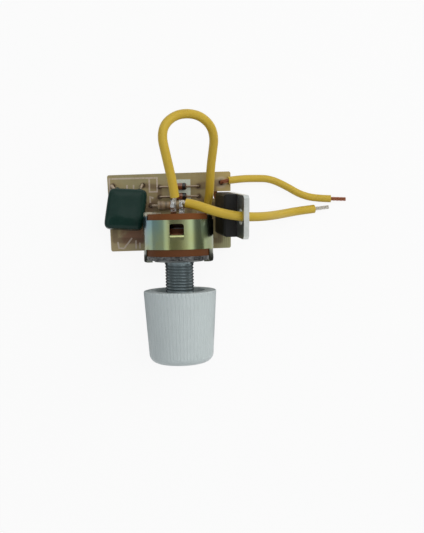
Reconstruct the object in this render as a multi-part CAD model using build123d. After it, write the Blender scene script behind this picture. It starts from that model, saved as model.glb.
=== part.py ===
from build123d import *
import os
from math import asin, cos, degrees, radians, sin, sqrt, tan

# Open lamp dimmer: a rotary control with a built-in switch, a small circuit board and three yellow wires.
# Millimetres. The control's shaft is the Y axis and the knob points to -Y. The face that seats on
# the panel is y = 0, and Z points up from the board's component side.

# Panel bushing and shaft
thread_radius = 3.5
thread_length = 7.5
thread_chamfer = 0.4
collar_radius = 3.6
collar_height = 0.6
flange_width = 1.2
flange_thickness = 0.5
journal_radius = 2.3
journal_clearance = 0.05
shaft_radius = 3.0
shaft_length = 12.8
shaft_flat = 1.5
shaft_flat_start = 2.3
shaft_chamfer = 0.5
end_play = 0.1
rotor_seat_radius = 2.0
rotor_seat_flat = 1.4
rotor_seat_past = 0.1
fit_clearance = 0.02
cut_past = 1.0

# Front plate
plate_thickness = 1.0
pad_height = 0.5
pad_width = 2.4
pad_slope = 0.5
plate_setback = 0.15

# Can, wafers and crimped tabs
can_radius = 8.65
can_wall = 0.5
can_length = 7.05
track_wafer_thickness = 1.65
switch_wafer_thickness = 1.45
wafer_setback = 0.25
wafer_hole_clearance = 0.6
tab_width = 2.4
tab_reach = 1.6
tab_bend = 0.4
tab_clearance = 0.05
front_tab_angles = (-71, 69, 132, 228)
rear_tab_angles = (-66, 66, 132, 228)

# Lanced window and stop tongue at the top of the can
window_width = 3.4
window_length = 2.4
window_rear_margin = 0.95
window_corner = 0.6
tongue_bend = 0.4
tongue_slit = 0.05
tongue_depth = 1.15

# Rotor and its stop
turn_range = 300
stop_slack = 0.5
rotor_gap = 1.1
rotor_thickness = 2.0
rotor_hub_wall = 1.0
rotor_hub_height = 1.8
stop_lug_past = 0.3
stop_clearance = 0.35
ring_thickness = 0.5
ring_width = 1.7
ring_mouth = 70
groove_depth = 0.45

# Resistive track, collector and wiper
track_margin = 0.85
track_width = 1.3
track_thickness = 0.12
track_gap = 64
collector_margin = 0.5
collector_width = 0.8
collector_thickness = 0.2
collector_gap = 26
wiper_thickness = 0.25
wiper_width = 0.8
wiper_root_margin = 0.2
wiper_arm_bend = 1.6
wiper_tip_back = 0.5
wiper_tip_past = 0.4
wiper_spread = 14
contact_gap = 0.1

# Track lugs and rivets
lug_thickness = 0.4
lug_width = 1.2
lug_angle = 19
lug_end_margin = 0.7
lug_hole_inset = 1.95
rivet_radius = 0.45
rivet_head_radius = 0.6
rivet_head_height = 0.25
rivet_recess = 0.1

# Switch strips, bridge and solder lugs
strip_thickness = 0.25
strip_width = 1.1
inner_strip_radius = 3.58
outer_strip_radius = 5.7
outer_strip_gap = 60
bridge_thickness = 0.25
bridge_width = 1.0
bridge_arm = 1.7
bridge_margin = 0.3
bridge_spread = 12
solder_lug_spacing = 2.0
solder_lug_centre = 0.15
solder_lug_width = 1.3
solder_lug_length = 3.25
solder_lug_height = 4.5
solder_radius = 0.8
solder_length = 1.25
solder_sink = 0.3

# Knob
knob_radius = 9.0
knob_length = 17.8
knob_taper = 3.7
knob_edge = 2.2
knob_rim_edge = 0.3
knob_wall = 1.7
knob_recess_radius = 6.2
knob_recess_depth = 1.7
knob_hub_radius = 4.7
knob_hub_gap = 0.7
knob_hub_setback = 1.6
knob_floor = 2.2
knob_rib_count = 4
knob_rib_width = 1.1
knob_rib_turn = 45
knob_rib_sink = 0.2
flute_count = 60
flute_depth = 0.16
flute_width = 0.42
flute_rim_margin = 0.9

# Circuit board
board_gap = 0.85
board_thickness = 1.6
board_left = -18.6
board_right = 13.4
board_front = 2.3
board_length = 19.8
board_left_taper = 0.5
board_right_taper = 0.3
board_rise = 0.3
board_corner = 0.5
notch_depth = 4.8
notch_front = 15.5
notch_length = 1.9
notch_corner = 0.4
hole_clearance = 0.12
solder_height = 1.4
solder_base_radius = 0.95
solder_tip_radius = 0.45
lead_cut = 0.3

# Axial parts
lead_radius = 0.26
lead_bend = 0.6
axial_lift = 0.1
resistor_radius = 1.15
resistor_length = 6.3
resistor_waist = 0.15
resistor_cap_length = 1.5
resistor_edge = 0.1
resistor_place = (-2.4, 14.0)
resistor_pitch = 10.1
glass_radius = 0.9
glass_length = 3.9
glass_edge = 0.35
glass_places = ((0.0, 18.75), (0.0, 16.2))
glass_pitch = 10.16

# Film capacitor, folded over towards the knob
capacitor_width = 9.8
capacitor_length = 10.5
capacitor_depth = 4.4
capacitor_edge = 2.0
capacitor_face_edge = 1.8
capacitor_lift = 0.5
capacitor_tilt = 13
capacitor_skew = -8
capacitor_end_turn = 4
capacitor_place = (-12.75, 18.15)
capacitor_pitch = 7.8
capacitor_hole_shift = -0.47
capacitor_lead_spread = 5.8
capacitor_lead_fall = 0.3
capacitor_hole_row = 19.3
capacitor_lead_radius = 0.35
capacitor_lead_bend = 0.9

# Triac, standing at the board's right edge and leaning out
triac_place = (9.1, 11.8)
triac_lift = 3.5
triac_lean = 13.5
triac_side_lean = 5.5
triac_width = 10.4
triac_depth = 4.5
triac_length = 9.4
triac_total = 15.5
triac_bevel = 0.5
triac_dimple_radius = 1.3
triac_dimple_depth = 0.2
triac_dimple_inset = 3.0
triac_tab_thickness = 1.3
triac_tab_corner = 0.7
triac_hole_radius = 1.9
triac_hole_inset = 2.8
triac_leg_width = 0.8
triac_leg_thickness = 0.5
triac_leg_pitch = 2.54
triac_leg_bend = 0.4
triac_leg_setback = 1.9
triac_leg_drop = 1.0
triac_leg_row = 10.5

# Wires
wire_radius = 1.1
thin_wire_radius = 0.95
core_radius = 0.5
jumper_hole = (7.1, 13.4)
board_lead_hole = (10.95, 19.6)
tip_length = 4.0
bend_share = 0.45
core_bend = 0.3
core_straight = 0.5
core_inset = 1.0
core_overlap = 0.5
core_slant = 0.3
jumper_hole_slack = 0.15

# Stations along the shaft, worked out from the seat
plate_rim_front = pad_height
plate_rear = plate_rim_front + plate_thickness
track_face = plate_rear + track_wafer_thickness
can_rear = track_face + can_length
switch_wafer_rear = can_rear + switch_wafer_thickness
pad_rear = plate_thickness
flange_rear = pad_rear + flange_thickness
bushing_end = -collar_height - thread_length
shaft_step = bushing_end - end_play
shaft_end = shaft_step - shaft_length
rotor_front = track_face + rotor_gap
rotor_rear = rotor_front + rotor_thickness
rotor_hub_rear = rotor_rear + rotor_hub_height
shaft_rear = rotor_hub_rear + rotor_seat_past
knob_hub_rear = bushing_end - knob_hub_gap
knob_rear = knob_hub_rear + knob_hub_setback
knob_front = knob_rear - knob_length

# Radii and levels that follow from the values above
can_inner = can_radius - can_wall
wafer_radius = can_radius - wafer_setback
plate_radius = can_radius - plate_setback
pad_radius = collar_radius + pad_width
bore_radius = journal_radius + journal_clearance
flange_radius = collar_radius + flange_width
wafer_hole_radius = journal_radius + ring_width - groove_depth + wafer_hole_clearance
rotor_hub_radius = rotor_seat_radius + rotor_hub_wall
tongue_tip = can_inner - tongue_depth
track_radius = can_inner - track_margin - track_width / 2
collector_radius = track_radius - track_width / 2 - collector_margin - collector_width / 2
rotor_radius = max(outer_strip_radius + bridge_margin, track_radius + track_width / 2)
stop_lug_radius = can_inner - stop_clearance
board_top = -can_radius - board_gap
board_under = board_top - board_thickness
floor_level = board_under - solder_height
lead_tip = floor_level + lead_cut
board_rear = board_front + board_length

# Placed and written pieces
os.makedirs("parts", exist_ok=True)
pieces = {}


def about_shaft(face, centre=0, width=360):
    """A radial profile turned about the shaft. Angles run from the top (+Z) towards +X."""
    if width == 360:
        return revolve(face, Axis.Y)
    return Rot(0, centre - 90 - width / 2, 0) * revolve(face, Axis.Y, revolution_arc=width)


def ring(inner, outer, start, end, centre=0, width=360):
    """A ring, or a stretch of one, between two radii and two stations."""
    face = Pos((inner + outer) / 2, (start + end) / 2) * Rectangle(outer - inner, end - start)
    return about_shaft(face, centre, width)


def block(low, high):
    """A box between two corners."""
    size = [b - a for a, b in zip(low, high)]
    middle = [(a + b) / 2 for a, b in zip(low, high)]
    return Pos(*middle) * Box(*size)


def strip(points, width_direction, width, thickness, bend):
    """Flat metal bent along a line of points."""
    path = FilletPolyline(*points, radius=bend)
    plane = Plane(origin=path @ 0, x_dir=width_direction, z_dir=path % 0)
    return sweep(plane * Rectangle(width, thickness), path)


def bare_lead(points, radius, bend):
    """Round wire bent along a line of points."""
    path = FilletPolyline(*points, radius=bend) if len(points) > 2 else Line(*points)
    return sweep(Plane(origin=path @ 0, z_dir=path % 0) * Circle(radius), path)


def insulated_run(name, points, radius):
    """A wire's insulation, with bends as wide as its runs allow."""
    turns = [Vector(*p) for p in points]
    bends = []
    for before, corner, after in zip(turns, turns[1:], turns[2:]):
        run_in = corner - before
        run_out = after - corner
        shorter = min(run_in.length, run_out.length)
        bends.append(bend_share * shorter / tan(radians(run_in.get_angle(run_out)) / 2))
    path = FilletPolyline(*points, radius=bends)
    tube = sweep(Plane(origin=path @ 0, z_dir=path % 0) * Circle(radius), path)
    share = tube.volume / (Circle(radius).area * path.length)
    print(name, "length", round(path.length, 1), "volume share", round(share, 4))
    print(name, "bend radii", [round(b, 1) for b in bends])
    return tube


def hole_through_board(x, y, radius):
    """A drilled hole for a lead."""
    return Pos(x, y, board_top - board_thickness / 2) * Cylinder(radius + hole_clearance, 2 * board_thickness)


def solder_cone(x, y):
    """A solder joint under the board."""
    cone = Cone(solder_base_radius, solder_tip_radius, solder_height)
    return Pos(x, y, board_under - solder_height / 2) * Rot(180, 0, 0) * cone


# Crimped tab: an L that follows the can's wall and then lies on the face that it holds
def crimped_tab(can_edge, face_held, centre):
    outward = 1 if face_held > can_edge else -1
    end = face_held + outward * can_wall
    reach = can_radius - tab_reach
    outline = Polyline(
        (can_inner, can_edge),
        (can_radius, can_edge),
        (can_radius, end),
        (reach, end),
        (reach, face_held),
        (can_inner, face_held),
        close=True,
    )
    face = make_face(outline)
    corner = face.vertices().sort_by_distance((can_radius, end))[0]
    face = fillet(corner, tab_bend)
    return about_shaft(face, centre, degrees(tab_width / can_radius))


def tab_notches(angles, start, end):
    """Room in a wafer or plate for the tabs that pass its edge."""
    width = degrees((tab_width + 2 * tab_clearance) / can_radius)
    inner = can_inner - tab_clearance
    notches = [ring(inner, can_radius + cut_past, start - cut_past, end + cut_past, a, width) for a in angles]
    return Part() + notches


# Can
window_rear = can_rear - window_rear_margin
window_front = window_rear - window_length
tongue_start = window_front - can_wall - tongue_bend
lug_spread = track_radius * sin(radians(lug_angle)) + lug_width / 2
can = ring(can_inner, can_radius, track_face, can_rear)
opening = block(
    (-window_width / 2, tongue_start, can_inner - can_wall),
    (window_width / 2, window_rear, can_radius + can_wall),
)
opening = fillet(opening.edges().filter_by(Axis.Z).group_by(Axis.Y)[-1], window_corner)
can = can - opening
can = can - block(
    (-lug_spread - lug_width / 2, track_face - can_wall, -can_radius - can_wall),
    (lug_spread + lug_width / 2, track_face + lug_hole_inset, -can_inner / 2),
)
tongue_path = FilletPolyline(
    (0, tongue_start - can_wall, can_radius - can_wall / 2),
    (0, window_front - can_wall / 2, can_radius - can_wall / 2),
    (0, window_front - can_wall / 2, tongue_tip),
    radius=tongue_bend + can_wall / 2,
)
tongue_plane = Plane(origin=tongue_path @ 0, x_dir=(1, 0, 0), z_dir=tongue_path % 0)
tongue = sweep(tongue_plane * Rectangle(window_width - 2 * tongue_slit, can_wall), tongue_path)
can = can + tongue
can = can + [crimped_tab(can_rear, switch_wafer_rear, a) for a in rear_tab_angles]
can = can + [crimped_tab(track_face, plate_rim_front, a) for a in front_tab_angles]
pieces["control_can"] = can

# Front plate: stamped sheet with a raised pad that seats on the panel
plate_outline = Polyline(
    (collar_radius + fit_clearance, 0),
    (pad_radius, 0),
    (pad_radius + pad_slope, plate_rim_front),
    (plate_radius, plate_rim_front),
    (plate_radius, plate_rear),
    (pad_radius + pad_slope / 2, plate_rear),
    (pad_radius - pad_slope / 2, pad_rear),
    (collar_radius + fit_clearance, pad_rear),
    close=True,
)
plate = about_shaft(make_face(plate_outline)) - tab_notches(front_tab_angles, 0, plate_rear)
pieces["front_plate"] = plate

# Threaded bushing, staked through the plate
bushing_outline = Polyline(
    (bore_radius, flange_rear),
    (flange_radius, flange_rear),
    (flange_radius, pad_rear),
    (collar_radius, pad_rear),
    (collar_radius, -collar_height),
    (thread_radius, -collar_height),
    (thread_radius, bushing_end + thread_chamfer),
    (thread_radius - thread_chamfer, bushing_end),
    (bore_radius, bushing_end),
    close=True,
)
pieces["threaded_bushing"] = about_shaft(make_face(bushing_outline))

# Shaft: journal in the bushing, flat at the knob, keyed end in the rotor
ring_front = flange_rear + end_play
groove_radius = journal_radius - groove_depth
shaft_outline = Polyline(
    (0, shaft_end),
    (shaft_radius - shaft_chamfer, shaft_end),
    (shaft_radius, shaft_end + shaft_chamfer),
    (shaft_radius, shaft_step),
    (journal_radius, shaft_step),
    (journal_radius, ring_front),
    (groove_radius, ring_front),
    (groove_radius, ring_front + ring_thickness),
    (journal_radius, ring_front + ring_thickness),
    (journal_radius, rotor_front),
    (rotor_seat_radius, rotor_front),
    (rotor_seat_radius, shaft_rear),
    (0, shaft_rear),
    close=True,
)
shaft = about_shaft(make_face(shaft_outline))
shaft = shaft - block(
    (-shaft_radius, shaft_end - cut_past, shaft_flat),
    (shaft_radius, shaft_step - shaft_flat_start, 2 * shaft_radius),
)
shaft = shaft - block(
    (-rotor_seat_radius, rotor_front, rotor_seat_flat),
    (rotor_seat_radius, shaft_rear + cut_past, 2 * rotor_seat_radius),
)
pieces["shaft"] = shaft

# Retaining ring, open at one side, in the shaft's groove
ring_outer = groove_radius + ring_width
pieces["retaining_ring"] = ring(
    groove_radius + fit_clearance,
    ring_outer,
    ring_front + fit_clearance,
    ring_front + ring_thickness - fit_clearance,
    180,
    360 - ring_mouth,
)

# Rotor with its stop lug, keyed on the shaft's end
half_tongue = degrees(asin((window_width / 2 + tongue_slit) / tongue_tip))
lug_half_angle = (360 - turn_range) / 2 - half_tongue - stop_slack
stop_centre = (360 - turn_range) / 2
rotor = ring(0, rotor_radius, rotor_front, rotor_rear)
rotor = rotor + ring(0, rotor_hub_radius, rotor_rear, rotor_hub_rear)
rotor = rotor + ring(
    rotor_radius - bridge_margin / 2,
    stop_lug_radius,
    rotor_front,
    window_front + stop_lug_past,
    stop_centre,
    2 * lug_half_angle,
)
keyway = Cylinder(rotor_seat_radius + fit_clearance, 4 * rotor_thickness)
keyway = keyway - Pos(0, rotor_seat_radius + rotor_seat_flat + fit_clearance, 0) * Box(
    4 * rotor_seat_radius, 2 * rotor_seat_radius, 8 * rotor_thickness
)
rotor = rotor - Pos(0, rotor_rear, 0) * Rot(90, 0, 0) * keyway
pieces["rotor"] = rotor

# Track wafer with its carbon horseshoe and collector
lug_angles = (180 - lug_angle, 180, 180 + lug_angle)
rivet_radii = (track_radius, collector_radius, track_radius)


def at_angle(radius, angle):
    return (radius * sin(radians(angle)), radius * cos(radians(angle)))


def pin_along_shaft(x, z, radius, start, end):
    return Pos(x, (start + end) / 2, z) * Rot(90, 0, 0) * Cylinder(radius, end - start)


rivet_points = [at_angle(r, a) for r, a in zip(rivet_radii, lug_angles)]
track_rivet_holes = [
    pin_along_shaft(x, z, rivet_radius + fit_clearance, plate_rear - cut_past, track_face + cut_past)
    for x, z in rivet_points
]
track_wafer = ring(wafer_hole_radius, wafer_radius, plate_rear, track_face)
track_wafer = track_wafer - tab_notches(front_tab_angles, plate_rear, track_face) - track_rivet_holes
pieces["track_wafer"] = track_wafer
pieces["resistive_track"] = ring(
    track_radius - track_width / 2,
    track_radius + track_width / 2,
    track_face,
    track_face + track_thickness,
    0,
    360 - track_gap,
)
pieces["collector_ring"] = ring(
    collector_radius - collector_width / 2,
    collector_radius + collector_width / 2,
    track_face,
    track_face + collector_thickness,
    0,
    360 - collector_gap,
)

# Track lugs: flat on the wafer, then bent down into the board
lug_level = track_face + lug_thickness / 2
lug_hole_y = track_face + lug_hole_inset - lug_thickness
track_lugs = Part()
track_rivets = Part()
lug_holes = []
for x, z in rivet_points:
    lug = strip(
        [
            (x, lug_level, z + lug_end_margin),
            (x, lug_level, board_top + 1.5 * lug_thickness),
            (x, lug_hole_y, board_top + lug_thickness),
            (x, lug_hole_y, lead_tip),
        ],
        (1, 0, 0),
        lug_width,
        lug_thickness,
        lug_thickness,
    )
    shank_end = track_face + lug_thickness
    hole_ends = (track_face - cut_past, shank_end + cut_past)
    rivet_hole = pin_along_shaft(x, z, rivet_radius + fit_clearance, *hole_ends)
    lug = lug - rivet_hole
    track_lugs = track_lugs + lug
    rivet = pin_along_shaft(x, z, rivet_radius, plate_rear + rivet_recess, shank_end + rivet_head_height)
    rivet = rivet + pin_along_shaft(x, z, rivet_head_radius, shank_end, shank_end + rivet_head_height)
    track_rivets = track_rivets + rivet
    lug_holes.append((x, lug_hole_y))
pieces["track_lugs"] = track_lugs
pieces["track_rivets"] = track_rivets

# Track wiper: a sprung plate under the rotor, opposite the stop lug
wiper_angle = stop_centre + 180
wiper_root = rotor_front - wiper_thickness / 2
wiper = ring(journal_radius + fit_clearance, collector_radius, rotor_front - wiper_thickness, rotor_front)
for radius, level in (
    (collector_radius, track_face + collector_thickness),
    (track_radius, track_face + track_thickness),
):
    arm = strip(
        [
            (0, wiper_root, journal_radius + wiper_root_margin),
            (0, wiper_root, radius - wiper_arm_bend),
            (0, level + contact_gap + wiper_thickness / 2, radius - wiper_tip_back),
            (0, level + contact_gap + wiper_thickness / 2, radius + wiper_tip_past),
        ],
        (1, 0, 0),
        wiper_width,
        wiper_thickness,
        wiper_thickness,
    )
    spread = -wiper_spread if radius == collector_radius else 0
    wiper = wiper + Rot(0, wiper_angle + spread, 0) * arm
pieces["track_wiper"] = wiper

# Switch wafer with its rivet holes
left_lug = solder_lug_centre - solder_lug_spacing / 2
right_lug = solder_lug_centre + solder_lug_spacing / 2
left_rivet_z = sqrt(inner_strip_radius**2 - left_lug**2)
right_rivet_z = sqrt(outer_strip_radius**2 - right_lug**2)
switch_rivet_points = [(left_lug, left_rivet_z), (right_lug, right_rivet_z)]
strip_front = can_rear - strip_thickness
lug_face = switch_wafer_rear + lug_thickness
switch_holes = [
    pin_along_shaft(x, z, rivet_radius + fit_clearance, strip_front - cut_past, lug_face + cut_past)
    for x, z in switch_rivet_points
]
switch_wafer = ring(0, wafer_radius, can_rear, switch_wafer_rear)
switch_wafer = switch_wafer - tab_notches(rear_tab_angles, can_rear, switch_wafer_rear) - switch_holes
pieces["switch_wafer"] = switch_wafer

# Switch strips: the outer one stops short, where the control is switched off
bridge_angle = stop_centre + 180
inner_strip = ring(
    inner_strip_radius - strip_width / 2, inner_strip_radius + strip_width / 2, strip_front, can_rear
)
outer_strip = ring(
    outer_strip_radius - strip_width / 2,
    outer_strip_radius + strip_width / 2,
    strip_front,
    can_rear,
    bridge_angle + outer_strip_gap / 2 + 180,
    360 - 2 * outer_strip_gap,
)
pieces["switch_strips"] = Part() + [inner_strip - switch_holes, outer_strip - switch_holes]

# Switch bridge: a sprung contact on the rotor that joins the two strips
bridge_level = strip_front - contact_gap - bridge_thickness / 2
bridge_root = rotor_rear + bridge_thickness / 2
bridge = ring(
    rotor_hub_radius + fit_clearance, rotor_radius - bridge_margin, rotor_rear, rotor_rear + bridge_thickness
)
for radius, spread in ((inner_strip_radius, -bridge_spread), (outer_strip_radius, bridge_spread)):
    arm = strip(
        [
            (-bridge_arm, bridge_root, radius),
            (-bridge_arm / 2, bridge_root, radius),
            (bridge_arm / 2, bridge_level, radius),
            (bridge_arm, bridge_level, radius),
        ],
        (0, 0, 1),
        bridge_width,
        bridge_thickness,
        bridge_thickness,
    )
    bridge = bridge + Rot(0, bridge_angle + spread, 0) * arm
pieces["switch_bridge"] = bridge

# Solder lugs on the rear wafer: one folds down to the inner strip's rivet, one up to the outer's
blade_end = switch_wafer_rear + solder_lug_length
switch_lugs = Part()
switch_rivets = Part()
for x, z in switch_rivet_points:
    foot_end = z + lug_end_margin if z > solder_lug_height else z - lug_end_margin
    lug = strip(
        [
            (x, switch_wafer_rear + lug_thickness / 2, foot_end),
            (x, switch_wafer_rear + lug_thickness / 2, solder_lug_height),
            (x, blade_end, solder_lug_height),
        ],
        (1, 0, 0),
        solder_lug_width,
        lug_thickness,
        lug_thickness,
    )
    lug = lug - switch_holes
    switch_lugs = switch_lugs + lug
    rivet = pin_along_shaft(x, z, rivet_radius, strip_front, lug_face + rivet_head_height)
    rivet = rivet + pin_along_shaft(x, z, rivet_head_radius, lug_face, lug_face + rivet_head_height)
    switch_rivets = switch_rivets + rivet
pieces["switch_lugs"] = switch_lugs
pieces["switch_rivets"] = switch_rivets

# Knob: tapered shell with a keyed hub, ribs inside and fine flutes outside
slope = tan(radians(knob_taper))
knob_tip_radius = knob_radius - knob_length * slope
knob_outline = make_face(
    Polyline(
        (0, knob_rear),
        (knob_radius, knob_rear),
        (knob_tip_radius, knob_front),
        (0, knob_front),
        close=True,
    )
)
rim_corner = knob_outline.vertices().sort_by_distance((knob_radius, knob_rear))[0]
knob_outline = fillet(rim_corner, knob_rim_edge)
tip_corner = knob_outline.vertices().sort_by_distance((knob_tip_radius, knob_front))[0]
knob_outline = fillet(tip_corner, knob_edge)
knob = about_shaft(knob_outline)
cavity_floor = knob_front + knob_floor
inside_tip = knob_tip_radius + knob_floor * slope - knob_wall
cavity = about_shaft(
    make_face(
        Polyline(
            (0, knob_rear + cut_past),
            (knob_recess_radius, knob_rear + cut_past),
            (knob_recess_radius, knob_rear - knob_recess_depth),
            (inside_tip, cavity_floor),
            (0, cavity_floor),
            close=True,
        )
    )
)
hub = ring(0, knob_hub_radius, cavity_floor - knob_rib_sink, knob_hub_rear)
rib_length = 2 * (inside_tip + knob_rib_sink)
ribs = [
    Rot(0, 360 * i / knob_rib_count + knob_rib_turn, 0)
    * block(
        (-rib_length / 2, cavity_floor - knob_rib_sink, -knob_rib_width / 2),
        (rib_length / 2, knob_hub_rear - knob_recess_depth, knob_rib_width / 2),
    )
    for i in range(knob_rib_count // 2)
]
knob = knob - cavity + hub + ribs
bore_depth = knob_hub_rear - shaft_end + fit_clearance
bore = Cylinder(shaft_radius + fit_clearance, bore_depth + cut_past)
bore = Pos(0, knob_hub_rear - bore_depth / 2 + cut_past / 2, 0) * Rot(90, 0, 0) * bore
bore = bore - block(
    (-2 * shaft_radius, shaft_end - 2 * cut_past, shaft_flat + fit_clearance),
    (2 * shaft_radius, shaft_step - shaft_flat_start - 2 * fit_clearance, 3 * shaft_radius),
)
knob = knob - bore
flute_run = knob_length - flute_rim_margin
flute_middle = knob_rear - flute_rim_margin - flute_run / 2
flute_radius_here = knob_radius - (flute_rim_margin + flute_run / 2) * slope
flute_tool = Polyline(
    (-flute_width / 2, fit_clearance),
    (flute_width / 2, fit_clearance),
    (0, -flute_depth),
    close=True,
)
flute_tool = extrude(make_face(flute_tool), flute_run / 2, both=True)
flute_tool = Pos(0, flute_middle, flute_radius_here) * Rot(knob_taper, 0, 0) * Rot(90, 0, 0) * flute_tool
knob = knob - [Rot(0, 360 * i / flute_count, 0) * flute_tool for i in range(flute_count)]
pieces["knob"] = knob

# Circuit board parts with two axial leads: the body lies on the board and the leads turn down
board_holes = [(x, y, lug_width / 2) for x, y in lug_holes]


def axial_leads(place, pitch, body_length, level):
    x, y = place
    leads = Part()
    for side in (-1, 1):
        lead = bare_lead(
            [
                (x + side * body_length / 2, y, level),
                (x + side * pitch / 2, y, level),
                (x + side * pitch / 2, y, lead_tip),
            ],
            lead_radius,
            lead_bend,
        )
        leads = leads + lead
        board_holes.append((x + side * pitch / 2, y, lead_radius))
    return leads


def along_x(profile_points, place, level, edge):
    """A turned body lying along X, from its outline as (distance along, radius) pairs."""
    outline = make_face(Polyline(*profile_points, close=True))
    rounded = [v for v in outline.vertices() if v.Y > lead_radius]
    body = revolve(fillet(rounded, edge), Axis.X)
    return Pos(place[0], place[1], level) * body


resistor_level = board_top + axial_lift + resistor_radius
half = resistor_length / 2
waist = resistor_radius - resistor_waist
resistor_outline = [
    (-half, 0),
    (-half, resistor_radius),
    (-half + resistor_cap_length, resistor_radius),
    (-half + resistor_cap_length + resistor_waist, waist),
    (half - resistor_cap_length - resistor_waist, waist),
    (half - resistor_cap_length, resistor_radius),
    (half, resistor_radius),
    (half, 0),
]
pieces["timing_resistor"] = along_x(resistor_outline, resistor_place, resistor_level, resistor_edge)
pieces["resistor_leads"] = axial_leads(resistor_place, resistor_pitch, resistor_length, resistor_level)

glass_level = board_top + axial_lift + glass_radius
half = glass_length / 2
glass_outline = [(-half, 0), (-half, glass_radius), (half, glass_radius), (half, 0)]
for body_name, leads_name, place in (
    ("trigger_diac", "diac_leads", glass_places[0]),
    ("clamp_diode", "diode_leads", glass_places[1]),
):
    pieces[body_name] = along_x(glass_outline, place, glass_level, glass_edge)
    pieces[leads_name] = axial_leads(place, glass_pitch, glass_length, glass_level)

# Film capacitor: a dipped pillow that leans over the board, hung on two bent leads
capacitor_axis = board_top + capacitor_lift + capacitor_depth / 2
capacitor_seat = Plane(
    origin=(*capacitor_place, capacitor_axis),
    x_dir=(cos(radians(capacitor_skew)), sin(radians(capacitor_skew)), 0),
    z_dir=(0, 0, 1),
)
capacitor_frame = capacitor_seat.location * Rot(-capacitor_tilt, 0, 0)
capacitor_rise = capacitor_width / 2 * tan(radians(capacitor_end_turn))
capacitor_outline = Polyline(
    (-capacitor_width / 2, -capacitor_length / 2 - capacitor_rise),
    (capacitor_width / 2, -capacitor_length / 2 + capacitor_rise),
    (capacitor_width / 2, capacitor_length / 2 + capacitor_rise),
    (-capacitor_width / 2, capacitor_length / 2 - capacitor_rise),
    close=True,
)
capacitor_box = extrude(make_face(capacitor_outline), capacitor_depth / 2, both=True)
capacitor_box = fillet(capacitor_box.edges().filter_by(Axis.Z), capacitor_edge)
capacitor_box = fillet(capacitor_box.faces().filter_by(Axis.Z).edges(), capacitor_face_edge)
capacitor = capacitor_frame * Pos(0, -capacitor_length / 2, 0) * capacitor_box
pieces["film_capacitor"] = capacitor
capacitor_leads = Part()
for side in (-1, 1):
    start = (capacitor_frame * Pos(side * capacitor_lead_spread / 2, -capacitor_edge / 2, 0)).position
    hole_x = capacitor_place[0] + capacitor_hole_shift + side * capacitor_pitch / 2
    lead = bare_lead(
        [
            tuple(start),
            (hole_x, capacitor_hole_row, start.Z - capacitor_lead_fall),
            (hole_x, capacitor_hole_row, lead_tip),
        ],
        capacitor_lead_radius,
        capacitor_lead_bend,
    )
    capacitor_leads = capacitor_leads + (lead - capacitor)
    board_holes.append((hole_x, capacitor_hole_row, capacitor_lead_radius))
pieces["capacitor_leads"] = capacitor_leads

# Triac: local X runs from the marked face to the back, local Z along its length
triac_base = board_top + triac_lift
lean = radians(triac_lean)
triac_plane = Plane(
    origin=(*triac_place, triac_base),
    x_dir=(cos(lean), 0, -sin(lean)),
    z_dir=(sin(lean), 0, cos(lean)),
)
plastic_depth = triac_depth - triac_tab_thickness
plastic = block((0, -triac_width / 2, 0), (plastic_depth, triac_width / 2, triac_length))
front_edges = plastic.faces().sort_by(Axis.X)[0].edges()
plastic = chamfer(front_edges, triac_bevel)
dimple = Pos(0, 0, triac_length - triac_dimple_inset) * Rot(0, 90, 0) * Cylinder(
    triac_dimple_radius, 2 * triac_dimple_depth
)
triac_frame = triac_plane.location * Rot(triac_side_lean, 0, 0)
pieces["triac_body"] = triac_frame * (plastic - dimple)
tab_plate = block((plastic_depth, -triac_width / 2, 0), (triac_depth, triac_width / 2, triac_total))
tab_corners = tab_plate.edges().filter_by(Axis.X).group_by(Axis.Z)[-1]
tab_plate = chamfer(tab_corners, triac_tab_corner)
hole_height = triac_total - triac_hole_inset
tab_hole = Pos(triac_depth / 2, 0, hole_height) * Rot(0, 90, 0) * Cylinder(triac_hole_radius, 2 * triac_depth)
pieces["triac_tab"] = triac_frame * (tab_plate - tab_hole)
triac_legs = Part()
for i in (-1, 0, 1):
    y = triac_place[1] + i * triac_leg_pitch
    top = (triac_frame * Pos(triac_leg_setback, i * triac_leg_pitch, 0)).position
    knee = (triac_frame * Pos(triac_leg_setback, i * triac_leg_pitch, -triac_leg_drop)).position
    leg = strip(
        [
            tuple(top),
            tuple(knee),
            (triac_leg_row, y, board_top + triac_leg_drop),
            (triac_leg_row, y, lead_tip),
        ],
        (0, 1, 0),
        triac_leg_width,
        triac_leg_thickness,
        triac_leg_bend,
    )
    triac_legs = triac_legs + leg
    board_holes.append((triac_leg_row, y, triac_leg_width / 2))
pieces["triac_legs"] = triac_legs

# Jumper: from the left switch lug, round in a loop behind the board and down into it
core_level = solder_lug_height + lug_thickness / 2 + core_radius
jumper_points = [
    (-0.4, 15.6, 5.4),
    (-0.8, 19.0, 6.3),
    (-1.5, 22.5, 7.4),
    (-2.25, 26.2, 8.2),
    (-2.9, 29.5, 8.3),
    (-2.25, 32.4, 7.7),
    (0.05, 34.55, 6.5),
    (3.05, 35.3, 5.0),
    (6.1, 34.85, 3.2),
    (8.55, 32.8, 1.4),
    (9.35, 30.0, -0.4),
    (8.9, 26.9, -2.0),
    (8.3, 23.1, -3.5),
    (8.05, 19.1, -4.9),
    (7.75, 15.8, -6.6),
    (7.2, 13.6, -8.3),
]
pieces["jumper_wire"] = insulated_run("jumper_wire", jumper_points, wire_radius)
jumper_start = Vector(*jumper_points[0])
jumper_end = Vector(*jumper_points[-1])
jumper_core = Part() + bare_lead(
    [(left_lug, switch_wafer_rear + core_inset, core_level), tuple(jumper_start)], core_radius, 0
)
jumper_last = (jumper_end - Vector(*jumper_points[-2])).normalized()
jumper_core = jumper_core + bare_lead(
    [
        tuple(jumper_end),
        tuple(jumper_end + jumper_last * core_straight),
        (*jumper_hole, lead_tip),
    ],
    core_radius,
    core_bend,
)
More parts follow.
